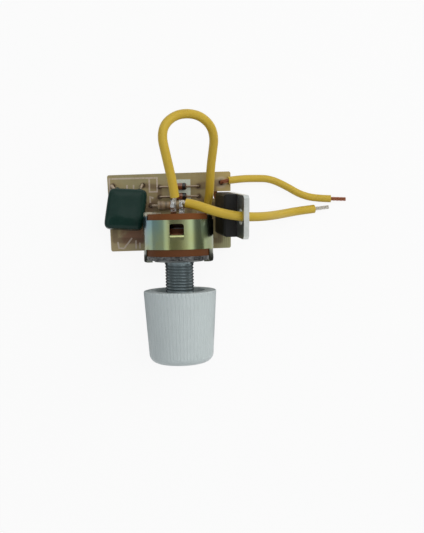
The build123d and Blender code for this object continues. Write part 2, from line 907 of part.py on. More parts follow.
jumper_core = jumper_core - pieces["jumper_wire"]
pieces["jumper_core"] = jumper_core
board_holes.append((*jumper_hole, core_radius + jumper_hole_slack))

# Switch lead: from the right switch lug, through the triac's tab and down to the surface
switch_lead_points = [
    (2.25, 14.15, 5.4),
    (4.6, 13.65, 5.9),
    (7.3, 12.6, 6.45),
    (10.8, 11.45, 6.5),
    (14.4, 10.75, 5.9),
    (17.4, 10.5, 4.5),
    (20.5, 10.5, 1.9),
    (23.8, 10.75, -2.4),
    (27.3, 11.25, -7.0),
    (31.2, 11.85, -10.2),
    (35.2, 12.25, -11.3),
]
pieces["switch_lead"] = insulated_run("switch_lead", switch_lead_points, wire_radius)
switch_start = Vector(*switch_lead_points[0])
switch_end = Vector(*switch_lead_points[-1])
switch_last = (switch_end - Vector(*switch_lead_points[-2])).normalized()
switch_core = Part() + bare_lead(
    [(right_lug - core_overlap, switch_start.Y + core_slant, core_level), tuple(switch_start)], core_radius, 0
)
switch_tip = switch_end + Vector(switch_last.X, switch_last.Y, 0) * tip_length
switch_core = switch_core + bare_lead([tuple(switch_end), tuple(switch_tip)], core_radius, 0)
switch_core = switch_core - pieces["switch_lead"]
pieces["switch_lead_core"] = switch_core

# Board lead: thinner, from its hole over the board's edge and along the surface
board_lead_points = [
    (12.75, 20.0, -8.25),
    (16.0, 20.4, -9.0),
    (19.6, 20.5, -10.6),
    (23.7, 20.4, -11.3),
    (28.0, 18.35, -11.5),
    (31.4, 16.2, -11.4),
    (35.3, 15.0, -11.5),
    (39.6, 14.8, -11.4),
]
pieces["board_lead"] = insulated_run("board_lead", board_lead_points, thin_wire_radius)
board_start = Vector(*board_lead_points[0])
board_end = Vector(*board_lead_points[-1])
board_last = (board_end - Vector(*board_lead_points[-2])).normalized()
board_core = Part() + bare_lead(
    [tuple(board_start), (*board_lead_hole, board_start.Z), (*board_lead_hole, lead_tip)],
    core_radius,
    2 * core_radius,
)
board_tip = board_end + Vector(board_last.X, board_last.Y, 0) * tip_length
board_core = board_core + bare_lead([tuple(board_end), tuple(board_tip)], core_radius, 0)
board_core = board_core - pieces["board_lead"]
pieces["board_lead_core"] = board_core
board_holes.append((*board_lead_hole, core_radius))

# Solder on the two switch lugs, round the wire ends
blade_top = solder_lug_height + lug_thickness / 2
lug_solder = Part()
for x, y in ((left_lug, blade_end - solder_length), (right_lug, blade_end - solder_length)):
    half_drop = EllipticalCenterArc((0, 0), solder_radius, solder_length, start_angle=-90, arc_size=180)
    half_drop = make_face(half_drop + Line((0, -solder_length), (0, solder_length)))
    drop = Pos(x, y, blade_top + solder_sink * solder_radius) * revolve(half_drop, Axis.Y)
    above = block(
        (x - 2 * solder_radius, y - 2 * solder_length, blade_top),
        (x + 2 * solder_radius, y + 2 * solder_length, blade_top + 2 * solder_radius),
    )
    lug_solder = lug_solder + ((drop & above) - jumper_core - switch_core)
pieces["lug_solder"] = lug_solder

# Circuit board, sawn a little out of square, with its notch and drilled holes, and the solder under it
board_outline = Polyline(
    (board_left + board_left_taper, board_front, board_under),
    (board_right - board_right_taper, board_front + board_rise, board_under),
    (board_right, board_rear + board_rise, board_under),
    (board_left, board_rear, board_under),
    close=True,
)
board = extrude(make_face(board_outline), board_thickness, dir=(0, 0, 1))
board = fillet(board.edges().filter_by(Axis.Z), board_corner)
notch = block(
    (board_right - notch_depth, notch_front, board_under - cut_past),
    (board_right + cut_past, notch_front + notch_length, board_top + cut_past),
)
notch = fillet(notch.edges().filter_by(Axis.Z).group_by(Axis.X)[0], notch_corner)
board = board - notch - [hole_through_board(*hole) for hole in board_holes]
pieces["circuit_board"] = board
all_leads = Part() + [
    pieces[name]
    for name in (
        "track_lugs",
        "resistor_leads",
        "diac_leads",
        "diode_leads",
        "capacitor_leads",
        "triac_legs",
        "jumper_core",
        "board_lead_core",
    )
]
pieces["solder_joints"] = Part() + [solder_cone(x, y) - all_leads for x, y, _ in board_holes]

for name, piece in pieces.items():
    export_step(piece, f"parts/{name}.step")
print(len(pieces), "pieces")
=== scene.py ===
from math import atan2, cos, pi, radians, sin, sqrt, tan

import bmesh
import bpy
from mathutils import Matrix, Vector, noise


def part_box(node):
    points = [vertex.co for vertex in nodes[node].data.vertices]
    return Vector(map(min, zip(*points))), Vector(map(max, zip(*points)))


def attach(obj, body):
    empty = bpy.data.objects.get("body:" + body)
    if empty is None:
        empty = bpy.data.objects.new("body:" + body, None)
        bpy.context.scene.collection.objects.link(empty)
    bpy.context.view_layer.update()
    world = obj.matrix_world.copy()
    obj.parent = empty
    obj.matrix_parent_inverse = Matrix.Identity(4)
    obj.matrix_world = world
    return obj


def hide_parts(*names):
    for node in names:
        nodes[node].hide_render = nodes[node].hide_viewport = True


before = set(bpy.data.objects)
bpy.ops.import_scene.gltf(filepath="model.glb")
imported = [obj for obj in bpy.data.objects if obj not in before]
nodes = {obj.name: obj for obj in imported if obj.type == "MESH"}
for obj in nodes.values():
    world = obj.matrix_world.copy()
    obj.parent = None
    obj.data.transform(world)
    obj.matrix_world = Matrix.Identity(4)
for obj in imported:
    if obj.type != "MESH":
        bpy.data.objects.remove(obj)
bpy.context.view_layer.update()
mm = 0.001
micron = 0.001 * mm
print("frame loaded,", len(nodes), "nodes")

# sizes and places are in mm: the shaft is the Y axis with the knob at -Y, and Z points up from the board
boardLow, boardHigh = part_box("circuit_board")
board = dict(
    top=boardHigh.z / mm, under=boardLow.z / mm, floor=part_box("solder_joints")[0].z / mm, leadTip=-12.2,
)
control = dict(canRadius=8.65, canFront=3.15, canRear=10.2)

# where leads, legs and lugs go through the board, in the order of their solder cones
holes = dict(
    lugLeft=(-2.17, 4.7), lugMiddle=(0.0, 4.7), lugRight=(2.17, 4.7),
    resistorLeft=(-7.45, 14.0), resistorRight=(2.65, 14.0),
    diacLeft=(-5.08, 18.75), diacRight=(5.08, 18.75), diodeLeft=(-5.08, 16.2), diodeRight=(5.08, 16.2),
    capacitorLeft=(-17.12, 19.3), capacitorRight=(-9.32, 19.3),
    legFront=(10.5, 9.26), legMiddle=(10.5, 11.8), legRear=(10.5, 14.34),
    jumper=(7.1, 13.4), boardLead=(10.95, 19.6),
)


def inMetres(points):
    return [Vector(p) * mm for p in points]


def addObject(name, data):
    made = bpy.data.objects.new(name, data)
    bpy.context.scene.collection.objects.link(made)
    return made


# camera: the photograph looks straight down on the module, a little from behind it
cameraSet = dict(
    place=(8.07, 10.2, 167.4), target=(8.07, -1.53, 0.0), roll=-1.3,
    focalPixels=678.0, framePixels=533.0, sensor=36.0, nearest=1.0, farthest=20000.0,
)


def setCamera():
    c = cameraSet
    data = bpy.data.cameras.new("camera")
    data.sensor_width = c["sensor"]
    data.lens = c["sensor"] * c["focalPixels"] / c["framePixels"]
    data.clip_start = c["nearest"] * mm
    data.clip_end = c["farthest"] * mm
    camera = addObject("camera", data)
    place, target = inMetres([c["place"], c["target"]])
    look = (target - place).normalized()
    right = look.cross(Vector((0, 1, 0))).normalized()
    up = right.cross(look)
    turn = Matrix((right, up, -look)).transposed() @ Matrix.Rotation(radians(c["roll"]), 3, "Z")
    camera.matrix_world = Matrix.Translation(place) @ turn.to_4x4()
    bpy.context.scene.camera = camera


setCamera()
print("camera set")


# shader maths: a socket that can be added, multiplied and compared
class Flow:
    def __init__(self, bench, socket):
        self.bench = bench
        self.socket = socket

    def __add__(self, other):
        return self.bench.maths("ADD", self, other)

    __radd__ = __add__

    def __sub__(self, other):
        return self.bench.maths("SUBTRACT", self, other)

    def __rsub__(self, other):
        return self.bench.maths("SUBTRACT", other, self)

    def __mul__(self, other):
        return self.bench.maths("MULTIPLY", self, other)

    __rmul__ = __mul__

    def __truediv__(self, other):
        return self.bench.maths("DIVIDE", self, other)

    def __rtruediv__(self, other):
        return self.bench.maths("DIVIDE", other, self)

    def __lt__(self, other):
        return self.bench.maths("LESS_THAN", self, other)

    def __gt__(self, other):
        return self.bench.maths("GREATER_THAN", self, other)

    def __abs__(self):
        return self.bench.maths("ABSOLUTE", self)


class Bench:
    def __init__(self, tree):
        self.tree = tree

    def make(self, kind, settings=None, inputs=None, out=0):
        node = self.tree.nodes.new(kind)
        for name, value in (settings or {}).items():
            if name == "stops":
                self.setStops(node.color_ramp, value)
            elif name == "interpolation":
                node.color_ramp.interpolation = value
            else:
                setattr(node, name, value)
        for key, value in (inputs or {}).items():
            self.feed(node.inputs[key], value)
        return Flow(self, node.outputs[out]) if len(node.outputs) else node

    def setStops(self, ramp, stops):
        while len(ramp.elements) < len(stops):
            ramp.elements.new(0.5)
        for element, (place, colour) in zip(ramp.elements, stops):
            element.position = place
            element.color = (*colour, 1)

    def feed(self, socket, value):
        if isinstance(value, Flow):
            self.tree.links.new(value.socket, socket)
        elif socket.type == "RGBA":
            socket.default_value = (*value, 1)
        else:
            socket.default_value = value

    def maths(self, operation, *values, clamp=False):
        settings = dict(operation=operation, use_clamp=clamp)
        return self.make("ShaderNodeMath", settings, dict(enumerate(values)))

    def clamp(self, value):
        return self.maths("ADD", value, 0.0, clamp=True)

    def larger(self, first, *others):
        for other in others:
            first = self.maths("MAXIMUM", first, other)
        return first

    # length of the line from the origin to a point
    def reach(self, x, y):
        return self.maths("SQRT", x * x + y * y)

    # Object coordinates in millimetres
    def place(self):
        coords = self.make("ShaderNodeTexCoord", out=3)
        return self.make("ShaderNodeVectorMath", dict(operation="SCALE"), {0: coords, "Scale": 1 / mm})

    def split(self, vector):
        first = self.make("ShaderNodeSeparateXYZ", inputs={0: vector})
        outputs = first.socket.node.outputs
        return [Flow(self, outputs[i]) for i in range(3)]

    def join(self, x, y, z):
        return self.make("ShaderNodeCombineXYZ", inputs={0: x, 1: y, 2: z})

    def stretch(self, vector, factors):
        return self.make("ShaderNodeVectorMath", dict(operation="MULTIPLY"), {0: vector, 1: factors})

    # a map in a finish is a noise's scale and detail, for streaks after its stretch, for patches before the
    # two levels that it fades between
    def noise(self, vector, scale, detail):
        inputs = {"Vector": vector, "Scale": scale, "Detail": detail, "Roughness": 0.55}
        return self.make("ShaderNodeTexNoise", inputs=inputs)

    def streaks(self, vector, run, scale, detail):
        return self.noise(self.stretch(vector, run), scale, detail)

    def patches(self, vector, scale, detail, low, high):
        return self.fade(self.noise(vector, scale, detail), low, high)

    def cells(self, vector, scale):
        return self.make("ShaderNodeTexVoronoi", dict(feature="F1"), {"Vector": vector, "Scale": scale})

    def ramp(self, value, stops, interpolation="LINEAR"):
        return self.make("ShaderNodeValToRGB", dict(interpolation=interpolation, stops=stops), {0: value})

    def fade(self, value, low, high, smooth=True):
        kind = "SMOOTHSTEP" if smooth else "LINEAR"
        inputs = {0: value, 1: low, 2: high, 3: 0.0, 4: 1.0}
        return self.make("ShaderNodeMapRange", dict(interpolation_type=kind, clamp=True), inputs)

    # the same, between two steps past an edge
    def fadePast(self, value, edge, steps):
        return self.fade(value, edge + steps[0], edge + steps[1])

    def blend(self, share, first, second):
        settings = dict(data_type="RGBA", blend_type="MIX", clamp_factor=True)
        return self.make("ShaderNodeMix", settings, {0: share, 6: first, 7: second}, out=2)

    # a finish's own colour, from its dark to its light
    def base(self, f, share):
        return self.blend(share, f["dark"], f["light"])

    # lays a shade over a colour: look is the shade, its share and how much a cloud adds to that share
    def tint(self, colour, mask, look, cloud=None):
        shade, share, *added = look
        if added:
            share = share + added[0] * cloud
        return self.blend(mask * share, colour, shade)

    def bump(self, height, distance, strength=1.0):
        inputs = {"Strength": strength, "Distance": distance, "Height": height}
        return self.make("ShaderNodeBump", inputs=inputs)

    # the sockets that most finishes set: grain makes the skin rougher, and height is its relief
    def skin(self, f, colour, grain, height):
        return {
            "Base Color": colour, "Metallic": f.get("metal", 0.0), "Specular IOR Level": f.get("gloss", 0.5),
            "Roughness": f["rough"] + f["roughSpan"] * grain,
            "Normal": self.bump(height, f["relief"], f["strength"]),
        }

    # soft-edged print: a filled box, a box's outline, a stroke between two points and a disc
    def boxMask(self, x, y, low, high, soft=0.06):
        return self.fade(self.boxEdge(x, y, low, high), soft, -soft)

    def frameMask(self, x, y, low, high, width, soft=0.06):
        return self.lineMask(abs(self.boxEdge(x, y, low, high)), width, soft)

    def strokeMask(self, x, y, start, end, width, soft=0.06):
        run = Vector(end) - Vector(start)
        dx = x - start[0]
        dy = y - start[1]
        along = self.clamp((dx * run.x + dy * run.y) / run.length_squared)
        return self.lineMask(self.reach(dx - along * run.x, dy - along * run.y), width, soft)

    def discMask(self, x, y, centre, radius, soft=0.06):
        return self.lineMask(self.reach(x - centre[0], y - centre[1]), 2 * radius, soft)

    # distance from a box's edge, less than nothing inside the box
    def boxEdge(self, x, y, low, high):
        middle = [(a + b) / 2 for a, b in zip(low, high)]
        half = [(b - a) / 2 for a, b in zip(low, high)]
        return self.larger(abs(x - middle[0]) - half[0], abs(y - middle[1]) - half[1])

    def lineMask(self, away, width, soft):
        return self.fade(away, width / 2 + soft, width / 2 - soft)


finishes = {}


def finish(name, paint):
    material = bpy.data.materials.new(name)
    material.use_nodes = True
    bench = Bench(material.node_tree)
    shader = material.node_tree.nodes["Principled BSDF"]
    for socket, value in paint(bench).items():
        bench.feed(shader.inputs[socket], value)
    finishes[name] = material


# the can's colours go round it from its left edge over the top to its right edge: the zinc's own tint mixed
# with painted reflection and a painted highlight
zinc = dict(
    tintAndReflectionBands=[
        (0.00, (0.115, 0.155, 0.215)), (0.14, (0.14, 0.205, 0.275)), (0.27, (0.20, 0.345, 0.345)),
        (0.38, (0.285, 0.405, 0.285)), (0.45, (0.35, 0.37, 0.18)), (0.53, (0.43, 0.44, 0.235)),
        (0.62, (0.44, 0.54, 0.30)), (0.70, (0.35, 0.44, 0.27)), (0.80, (0.24, 0.31, 0.24)),
        (1.00, (0.17, 0.18, 0.13)),
    ],
    driftMap=((0.25, 0.12, 0.25), 1.0, 2.0), drift=0.16, rolledMap=((0.5, 9.0, 0.5), 1.4, 4.0),
    warmMap=(0.35, 2.0), warm=((0.43, 0.44, 0.15), 0.9),
    speckMap=(5.0, 2.0, 0.68, 0.74), speck=((0.10, 0.09, 0.06), 0.35),
    lining=((0.60, 0.235, 0.13), 0.95), liningDepth=(-0.42, -0.6), liningRear=(-0.05, -0.25),
    liningFront=(0.0, 0.15),
    tab=((0.11, 0.115, 0.105), 0.8), tabSteps=(0.1, -0.4),
    crimpHighlight=((0.78, 0.73, 0.55), 0.85), crimpSteps=(0.7, 1.3),
    liningMetal=-0.95, crimpMetal=-0.3, rough=0.13, rolledRough=0.13, liningRough=0.4, crimpRough=0.12,
    relief=3 * micron, strength=0.6,
)


# zinc plating that turns more yellow towards the front, with a brown lining, painted shade that makes its
# front tabs dark grey and a painted highlight on its pale crimps
def paintCan(b):
    f = zinc
    front, rear = control["canFront"], control["canRear"]
    p = b.place()
    x, y, z = b.split(p)
    rolled = b.streaks(p, *f["rolledMap"])
    angle = b.maths("ARCTAN2", x, z)
    turn = b.fade(angle, -pi / 2, pi / 2, smooth=False)
    turn = turn + (b.streaks(p, *f["driftMap"]) - 0.5) * f["drift"]
    lining = b.fadePast(b.reach(x, z), control["canRadius"], f["liningDepth"])
    lining = lining * b.fadePast(y, rear, f["liningRear"]) * b.fadePast(y, front, f["liningFront"])
    crimps = b.fadePast(y, rear, f["crimpSteps"])
    # the bands mix the zinc's own tint with painted reflection and a painted highlight
    colour = b.ramp(turn, f["tintAndReflectionBands"], "B_SPLINE")
    colour = b.tint(colour, b.noise(p, *f["warmMap"]) * b.fade(y, rear, front), f["warm"])
    colour = b.tint(colour, b.patches(p, *f["speckMap"]), f["speck"])
    colour = b.tint(colour, lining, f["lining"])
    # painted shade that darkens the front tabs
    colour = b.tint(colour, b.fadePast(y, front, f["tabSteps"]), f["tab"])
    # painted highlight on the crimps: pale, less metallic and rougher
    colour = b.tint(colour, crimps, f["crimpHighlight"])
    rough = f["rough"] + f["rolledRough"] * rolled
    return {
        "Base Color": colour, "Metallic": 1 + f["liningMetal"] * lining + f["crimpMetal"] * crimps,
        "Roughness": rough + f["liningRough"] * lining + f["crimpRough"] * crimps,
        "Normal": b.bump(rolled, f["relief"], f["strength"]),
    }


plate = dict(
    rim=(7.0, 7.9), ends=(6.6, 8.2),
    hazeMap=(2.4, 4.0), faceDark=(0.33, 0.335, 0.33), faceLight=(0.46, 0.465, 0.455),
    rimEdge=(0.3, 0.68), rimDark=(0.035, 0.036, 0.036), rimLight=(0.24, 0.242, 0.24),
    spangle=(0.10, 0.105, 0.11), spangleScale=1.1, spangleFace=0.2, spangleRim=0.25,
    endHighlightMap=(0.9, 3.0, 0.42, 0.58), endHighlight=((0.72, 0.71, 0.68), 0.8),
    metal=1.0, rough=0.28, roughSpan=0.2, relief=10 * micron, strength=0.5,
)


# zinc plate: dull grey over its face, darker and mottled at its rim, with a painted highlight at both ends
def paintPlate(b):
    f = plate
    p = b.place()
    x, y, z = b.split(p)
    rim = b.fade(b.reach(x, z), *f["rim"])
    haze = b.noise(p, *f["hazeMap"])
    # darker, mottled colour at the rim
    rimColour = b.blend(b.fade(haze, *f["rimEdge"]), f["rimDark"], f["rimLight"])
    colour = b.blend(rim, b.blend(haze, f["faceDark"], f["faceLight"]), rimColour)
    spangle = b.clamp(b.cells(p, f["spangleScale"]) * (f["spangleFace"] + f["spangleRim"] * rim))
    colour = b.blend(spangle, colour, f["spangle"])
    # painted highlight at both ends of the rim
    ends = b.fade(abs(x), *f["ends"]) * b.patches(p, *f["endHighlightMap"]) * rim
    return b.skin(f, b.tint(colour, ends, f["endHighlight"]), haze, haze)


bushing = dict(
    bore=2.35, flange=4.8, collar=3.6, thread=3.5, pitch=0.75, depth=0.22, chamfer=0.4,
    flangeRear=1.5, padRear=1.0, collarEnd=-0.6, end=-8.1, turnSteps=96, pitchSteps=9,
    flankSlope=3.4, rootFlat=0.16, runIn=0.8, flangeBreak=0.1, collarBreak=0.08, boreBreak=0.2,
    cloudMap=(1.6, 4.0), dark=(0.175, 0.22, 0.23), light=(0.25, 0.30, 0.315), crestSteps=(-0.16, 0.02),
    groove=((0.10, 0.125, 0.132), 0.2), leftShade=((0.055, 0.068, 0.073), 0.5), leftShadeSteps=(0.8, -3.2),
    pitMap=(7.0, 2.0, 0.62, 0.75), pit=((0.05, 0.055, 0.06), 0.6), pitHeight=-0.5,
    metal=0.85, rough=0.37, crestRough=-0.12, pitRough=0.1, relief=20 * micron, strength=0.5,
)


# dull cast bushing, with painted shade in the grooves of its thread and down its left side, smoother on the
# crests
def paintBushing(b):
    f = bushing
    p = b.place()
    x, y, z = b.split(p)
    crest = b.fadePast(b.reach(x, z), f["thread"], f["crestSteps"])
    cloud = b.noise(p, *f["cloudMap"])
    pits = b.patches(p, *f["pitMap"])
    colour = b.base(f, cloud)
    # painted shade in the thread's grooves
    colour = b.tint(colour, 1 - crest, f["groove"])
    # painted shade down the left side, away from the key lamp
    colour = b.tint(colour, b.fade(x, *f["leftShadeSteps"]), f["leftShade"])
    colour = b.tint(colour, pits, f["pit"])
    return {
        "Base Color": colour, "Metallic": f["metal"],
        "Roughness": f["rough"] + f["crestRough"] * crest + f["pitRough"] * pits,
        "Normal": b.bump(cloud + pits * f["pitHeight"], f["relief"], f["strength"]),
    }


# plain finishes: a cloudy colour, marks that may run one way, and a fine relief of either or both
def grained(f):
    def paint(b):
        p = b.place()
        haze = b.noise(p, *f["cloudMap"])
        lines = b.streaks(p, *f["marksMap"]) if "marksMap" in f else haze
        height = haze * f.get("cloudHeight", 0.0) + lines * f.get("marksHeight", 1.0)
        return b.skin(f, b.base(f, haze), lines, height)
    return paint


plainFinishes = dict(
    turnedShaft=dict(  # fine rings round the shaft
        dark=(0.56, 0.57, 0.58), light=(0.70, 0.71, 0.72), cloudMap=(1.2, 3.0), metal=1.0,
        marksMap=((0.2, 14.0, 0.2), 1.0, 3.0), rough=0.24, roughSpan=0.16, relief=6 * micron, strength=0.6,
    ),
    tabPlate=dict(  # brushed along the triac's tab
        dark=(0.50, 0.52, 0.50), light=(0.74, 0.765, 0.73), cloudMap=(0.9, 3.0), metal=1.0,
        marksMap=((1.0, 9.0, 0.6), 1.6, 4.0), rough=0.26, roughSpan=0.18, relief=8 * micron, strength=0.6,
    ),
    contactBronze=dict(
        dark=(0.45, 0.27, 0.11), light=(0.66, 0.46, 0.22), cloudMap=(1.8, 4.0), metal=1.0,
        rough=0.24, roughSpan=0.2, relief=6 * micron, strength=0.5,
    ),
    carbonInk=dict(
        dark=(0.012, 0.012, 0.013), light=(0.035, 0.034, 0.033), cloudMap=(9.0, 4.0),
        rough=0.42, roughSpan=0.2, relief=10 * micron, strength=0.5,
    ),
    rotorMoulding=dict(
        dark=(0.19, 0.070, 0.034), light=(0.28, 0.112, 0.056), cloudMap=(4.0, 4.0), gloss=0.15,
        rough=0.5, roughSpan=0.2, relief=10 * micron, strength=0.4,
    ),
)
tin = dict(
    cloudMap=(2.2, 4.0), marksMap=((4.0, 1.0, 4.0), 1.5, 3.0), cloudHeight=1.0, marksHeight=0.3, metal=1.0,
    relief=10 * micron, strength=0.6,
)
tinFinishes = dict(
    tinnedMetal=dict(dark=(0.55, 0.55, 0.53), light=(0.80, 0.80, 0.77), rough=0.16, roughSpan=0.22),
    brightSolder=dict(
        dark=(0.42, 0.43, 0.43), light=(0.74, 0.75, 0.74), rough=0.16, roughSpan=0.22, relief=40 * micron,
    ),
    dullLead=dict(dark=(0.30, 0.23, 0.16), light=(0.52, 0.43, 0.33), rough=0.34, roughSpan=0.2),
    tinnedStrand=dict(dark=(0.52, 0.48, 0.40), light=(0.78, 0.76, 0.70), rough=0.18, roughSpan=0.2),
    copperStrand=dict(dark=(0.24, 0.085, 0.045), light=(0.50, 0.20, 0.11), rough=0.22, roughSpan=0.2),
)

phenolic = dict(
    layerMap=((0.5, 8.0, 0.5), 1.3, 4.0), dark=(0.095, 0.027, 0.005), light=(0.20, 0.060, 0.013),
    rear=((0.25, 0.080, 0.014), 0.45), front=((0.065, 0.026, 0.009), 0.35),
    blotchMap=(0.6, 3.0), blotch=((0.125, 0.046, 0.014), 0.5),
    fibreMap=((3.0, 12.0, 3.0), 1.0, 3.0), fibreEdge=(0.58, 0.72), fibre=((0.30, 0.13, 0.06), 0.3),
    rough=0.46, roughSpan=0.2, gloss=0.2, fibreHeight=0.4, relief=20 * micron, strength=0.6,
)


# pressed phenolic paper: layers along the shaft, pale fibres in the brown, with painted shading that makes
# it brighter at the rear and darker at the front
def paintPhenolic(b):
    f = phenolic
    p = b.place()
    layers = b.streaks(p, *f["layerMap"])
    fibres = b.fade(b.streaks(p, *f["fibreMap"]), *f["fibreEdge"])
    rear = b.fade(b.split(p)[1], control["canFront"], control["canRear"])
    colour = b.base(f, layers)
    # painted shading: brighter at the rear, darker at the front
    colour = b.tint(colour, rear, f["rear"])
    colour = b.tint(colour, 1 - rear, f["front"])
    colour = b.tint(colour, b.noise(p, *f["blotchMap"]), f["blotch"])
    colour = b.tint(colour, fibres, f["fibre"])
    return b.skin(f, colour, layers, layers + fibres * f["fibreHeight"])


# wear and frontWear are the depth, in mm, that the shading takes out of the flutes
knob = dict(
    flutes=60, rear=-7.2, front=-24.8, recess=6.2, grooveWidth=0.47,
    sideSteps=(0.8, 2.5), rimSteps=(0.1, 0.5),
    wear=0.115, frontWear=0.035, skinMap=(6.0, 3.0), skin=0.006,
    cloudMap=(0.5, 4.0), dark=(0.55, 0.612, 0.616), light=(0.605, 0.674, 0.678),
    wearAndGrooveLight=((0.80, 0.87, 0.87), 0.35), inside=((0.50, 0.55, 0.55), 0.5), rough=0.36, roughSpan=0.12,
    glow=0.08, glowReach=1.2,
)


# white knob: a satin moulding whose flutes are worn softer towards the front, with painted light in their
# grooves and painted shade in its open rear
def paintKnob(b):
    f = knob
    p = b.place()
    x, y, z = b.split(p)
    phase = b.maths("ARCTAN2", x, z) * (f["flutes"] / (2 * pi))
    groove = b.fade(abs(b.maths("FRACT", phase + 0.5) - 0.5) * 2, f["grooveWidth"], 0.0, smooth=False)
    outside = b.fadePast(b.reach(x, z), f["recess"], f["rimSteps"])
    wearAndGrooveLight = groove * b.fadePast(y, f["front"], f["sideSteps"]) * outside
    soft = b.fade(y, f["rear"], f["front"], smooth=False)
    skin = b.noise(p, *f["skinMap"])
    colour = b.base(f, b.noise(p, *f["cloudMap"]))
    # painted light in the flutes' grooves, lifting the shade that falls in them
    colour = b.tint(colour, wearAndGrooveLight, f["wearAndGrooveLight"])
    # painted shade in the open rear recess
    colour = b.tint(colour, 1 - outside, f["inside"])
    return {
        "Base Color": colour, "Roughness": f["rough"] + f["roughSpan"] * skin,
        "Normal": b.bump(wearAndGrooveLight * (f["wear"] + f["frontWear"] * soft) + skin * f["skin"], mm),
        "Subsurface Weight": f["glow"], "Subsurface Radius": [f["glowReach"] * mm] * 3,
        "Subsurface Scale": 1.0,
    }


# copper strips, each with its two ends and its width
tracks = [
    (holes["capacitorLeft"], (-17.0, 5.2), 1.6), ((-17.0, 5.2), holes["lugLeft"], 1.5),
    (holes["capacitorRight"], holes["diacLeft"], 1.3), (holes["diacLeft"], holes["diodeLeft"], 1.2),
    (holes["resistorLeft"], holes["diodeLeft"], 1.2), (holes["diacRight"], holes["boardLead"], 1.8),
    (holes["diodeRight"], holes["jumper"], 1.3), (holes["jumper"], holes["legRear"], 1.4),
    (holes["resistorRight"], holes["lugRight"], 1.4), (holes["lugMiddle"], holes["lugRight"], 1.2),
    (holes["legFront"], (10.3, 4.6), 1.5), ((10.3, 4.6), holes["lugRight"], 1.4),
    (holes["legMiddle"], (8.9, 18.9), 1.2), ((8.9, 18.9), holes["diacRight"], 1.2),
]
# print: a frame and a block by their corners, strokes by their points
silk = dict(
    frames=[((-7.7, 17.6), (-5.7, 21.15))], block=((-0.6, 15.5), (2.95, 20.6)), lineWidth=0.4,
    strokes=[
        [(-18.05, 17.0), (-18.05, 21.15), (-7.7, 21.15)],
        [(-16.3, 4.6), (-16.1, 3.2), (-14.8, 3.0), (-12.7, 5.6)],
        [(-11.6, 3.1), (-11.6, 4.9)], [(-10.6, 3.1), (-10.6, 4.3)],
        [(-7.6, 14.9), (-7.6, 16.3), (-6.9, 16.0)],
        [(-13.5, 19.3), (-13.5, 18.3), (-12.5, 18.3)], [(-11.8, 18.3), (-11.8, 19.3)],
    ],
    line=((0.62, 0.52, 0.43), 0.24, 0.56), ink=((0.66, 0.72, 0.62), 0.75, 0.25),
    wornMap=(2.2, 4.0, 0.30, 0.52), upper=(-0.1, -0.02),
)
laminate = dict(
    cloudMap=(0.35, 4.0), dark=(0.285, 0.205, 0.080), light=(0.42, 0.345, 0.160),
    warpMap=((5.0, 0.7, 1.0), 1.0, 3.0), weftMap=((0.7, 5.0, 1.0), 1.0, 3.0),
    weave=(0.47, 0.40, 0.205), weaveLow=0.8, weaveShare=0.7,
    rearRight=((0.56, 0.42, 0.14), 0.6), rearRightX=(6.0, 12.5), rearRightY=(4.0, 12.0),
    greenMap=(0.16, 2.0, 0.42, 0.66), green=((0.30, 0.285, 0.155), 0.45), near=(9.0, 4.5),
    nearRight=((0.50, 0.52, 0.28), 0.7), nearRightX=(8.0, 12.0),
    thread=((0.19, 0.17, 0.085), 0.45), threadPitch=0.52, threadX=(8.0, 9.5), threadEdge=(-0.4, 0.6),
    nearLeft=((0.52, 0.38, 0.215), 0.4), nearLeftX=(-8.0, -12.0),
    hazeBox=((-8.0, 12.0), (5.5, 19.5), 2.0), haze=((0.15, 0.09, 0.04), 0.1, 0.4),
    stainBox=((-15.0, 4.4), (-8.6, 8.4), 1.0), stain=((0.23, 0.082, 0.042), 0.6, 0.4),
    stainMap=(0.55, 3.0), stainRagged=4.0,
    scorchDisc=((-7.7, 13.6), 1.7, 1.0), scorch=((0.17, 0.07, 0.04), 0.3, 0.5),
    padDisc=(holes["boardLead"], 1.5, 0.4), pad=((0.56, 0.48, 0.36), 0.6),
    trackEdge=0.35, track=((0.115, 0.058, 0.026), 0.35, 0.4),
    fluxed=["diacLeft", "diodeLeft", "diacRight", "diodeRight", "resistorLeft", "capacitorRight",
            "capacitorLeft"],
    fluxSize=(0.62, 0.3), flux=((0.06, 0.028, 0.016), 0.7),
    rough=0.42, roughSpan=0.2, lineGrain=-0.4, printHeight=0.6, relief=12 * micron, strength=0.5,
)


# tan laminate: cloudy and woven, with tints at three corners, stains and the tracks that show through
def paintLaminate(b, p, x, y, cloud, weave):
    f = laminate
    near = b.fade(y, *f["near"])
    colour = b.base(f, cloud)
    colour = b.blend(b.clamp((weave - f["weaveLow"]) * f["weaveShare"]), colour, f["weave"])
    colour = b.tint(colour, b.fade(x, *f["rearRightX"]) * b.fade(y, *f["rearRightY"]), f["rearRight"])
    colour = b.tint(colour, b.patches(p, *f["greenMap"]), f["green"])
    colour = b.tint(colour, near * b.fade(x, *f["nearRightX"]), f["nearRight"])
    threads = b.fade(b.maths("SINE", x * (2 * pi / f["threadPitch"])), *f["threadEdge"])
    colour = b.tint(colour, near * b.fade(x, *f["threadX"]) * threads, f["thread"])
    colour = b.tint(colour, near * b.fade(x, *f["nearLeftX"]), f["nearLeft"])
    colour = b.tint(colour, b.boxMask(x, y, *f["hazeBox"]), f["haze"], cloud)
    ragged = (b.noise(p, *f["stainMap"]) - 0.5) * f["stainRagged"]
    colour = b.tint(colour, b.boxMask(x + ragged, y - ragged, *f["stainBox"]), f["stain"], cloud)
    colour = b.tint(colour, b.discMask(x, y, *f["scorchDisc"]), f["scorch"], cloud)
    colour = b.tint(colour, b.discMask(x, y, *f["padDisc"]), f["pad"])
    shadows = b.larger(*[b.strokeMask(x, y, *track, f["trackEdge"]) for track in tracks])
    colour = b.tint(colour, shadows, f["track"], cloud)
    flux = b.larger(*[b.discMask(x, y, holes[name], *f["fluxSize"]) for name in f["fluxed"]])
    return b.tint(colour, flux, f["flux"])


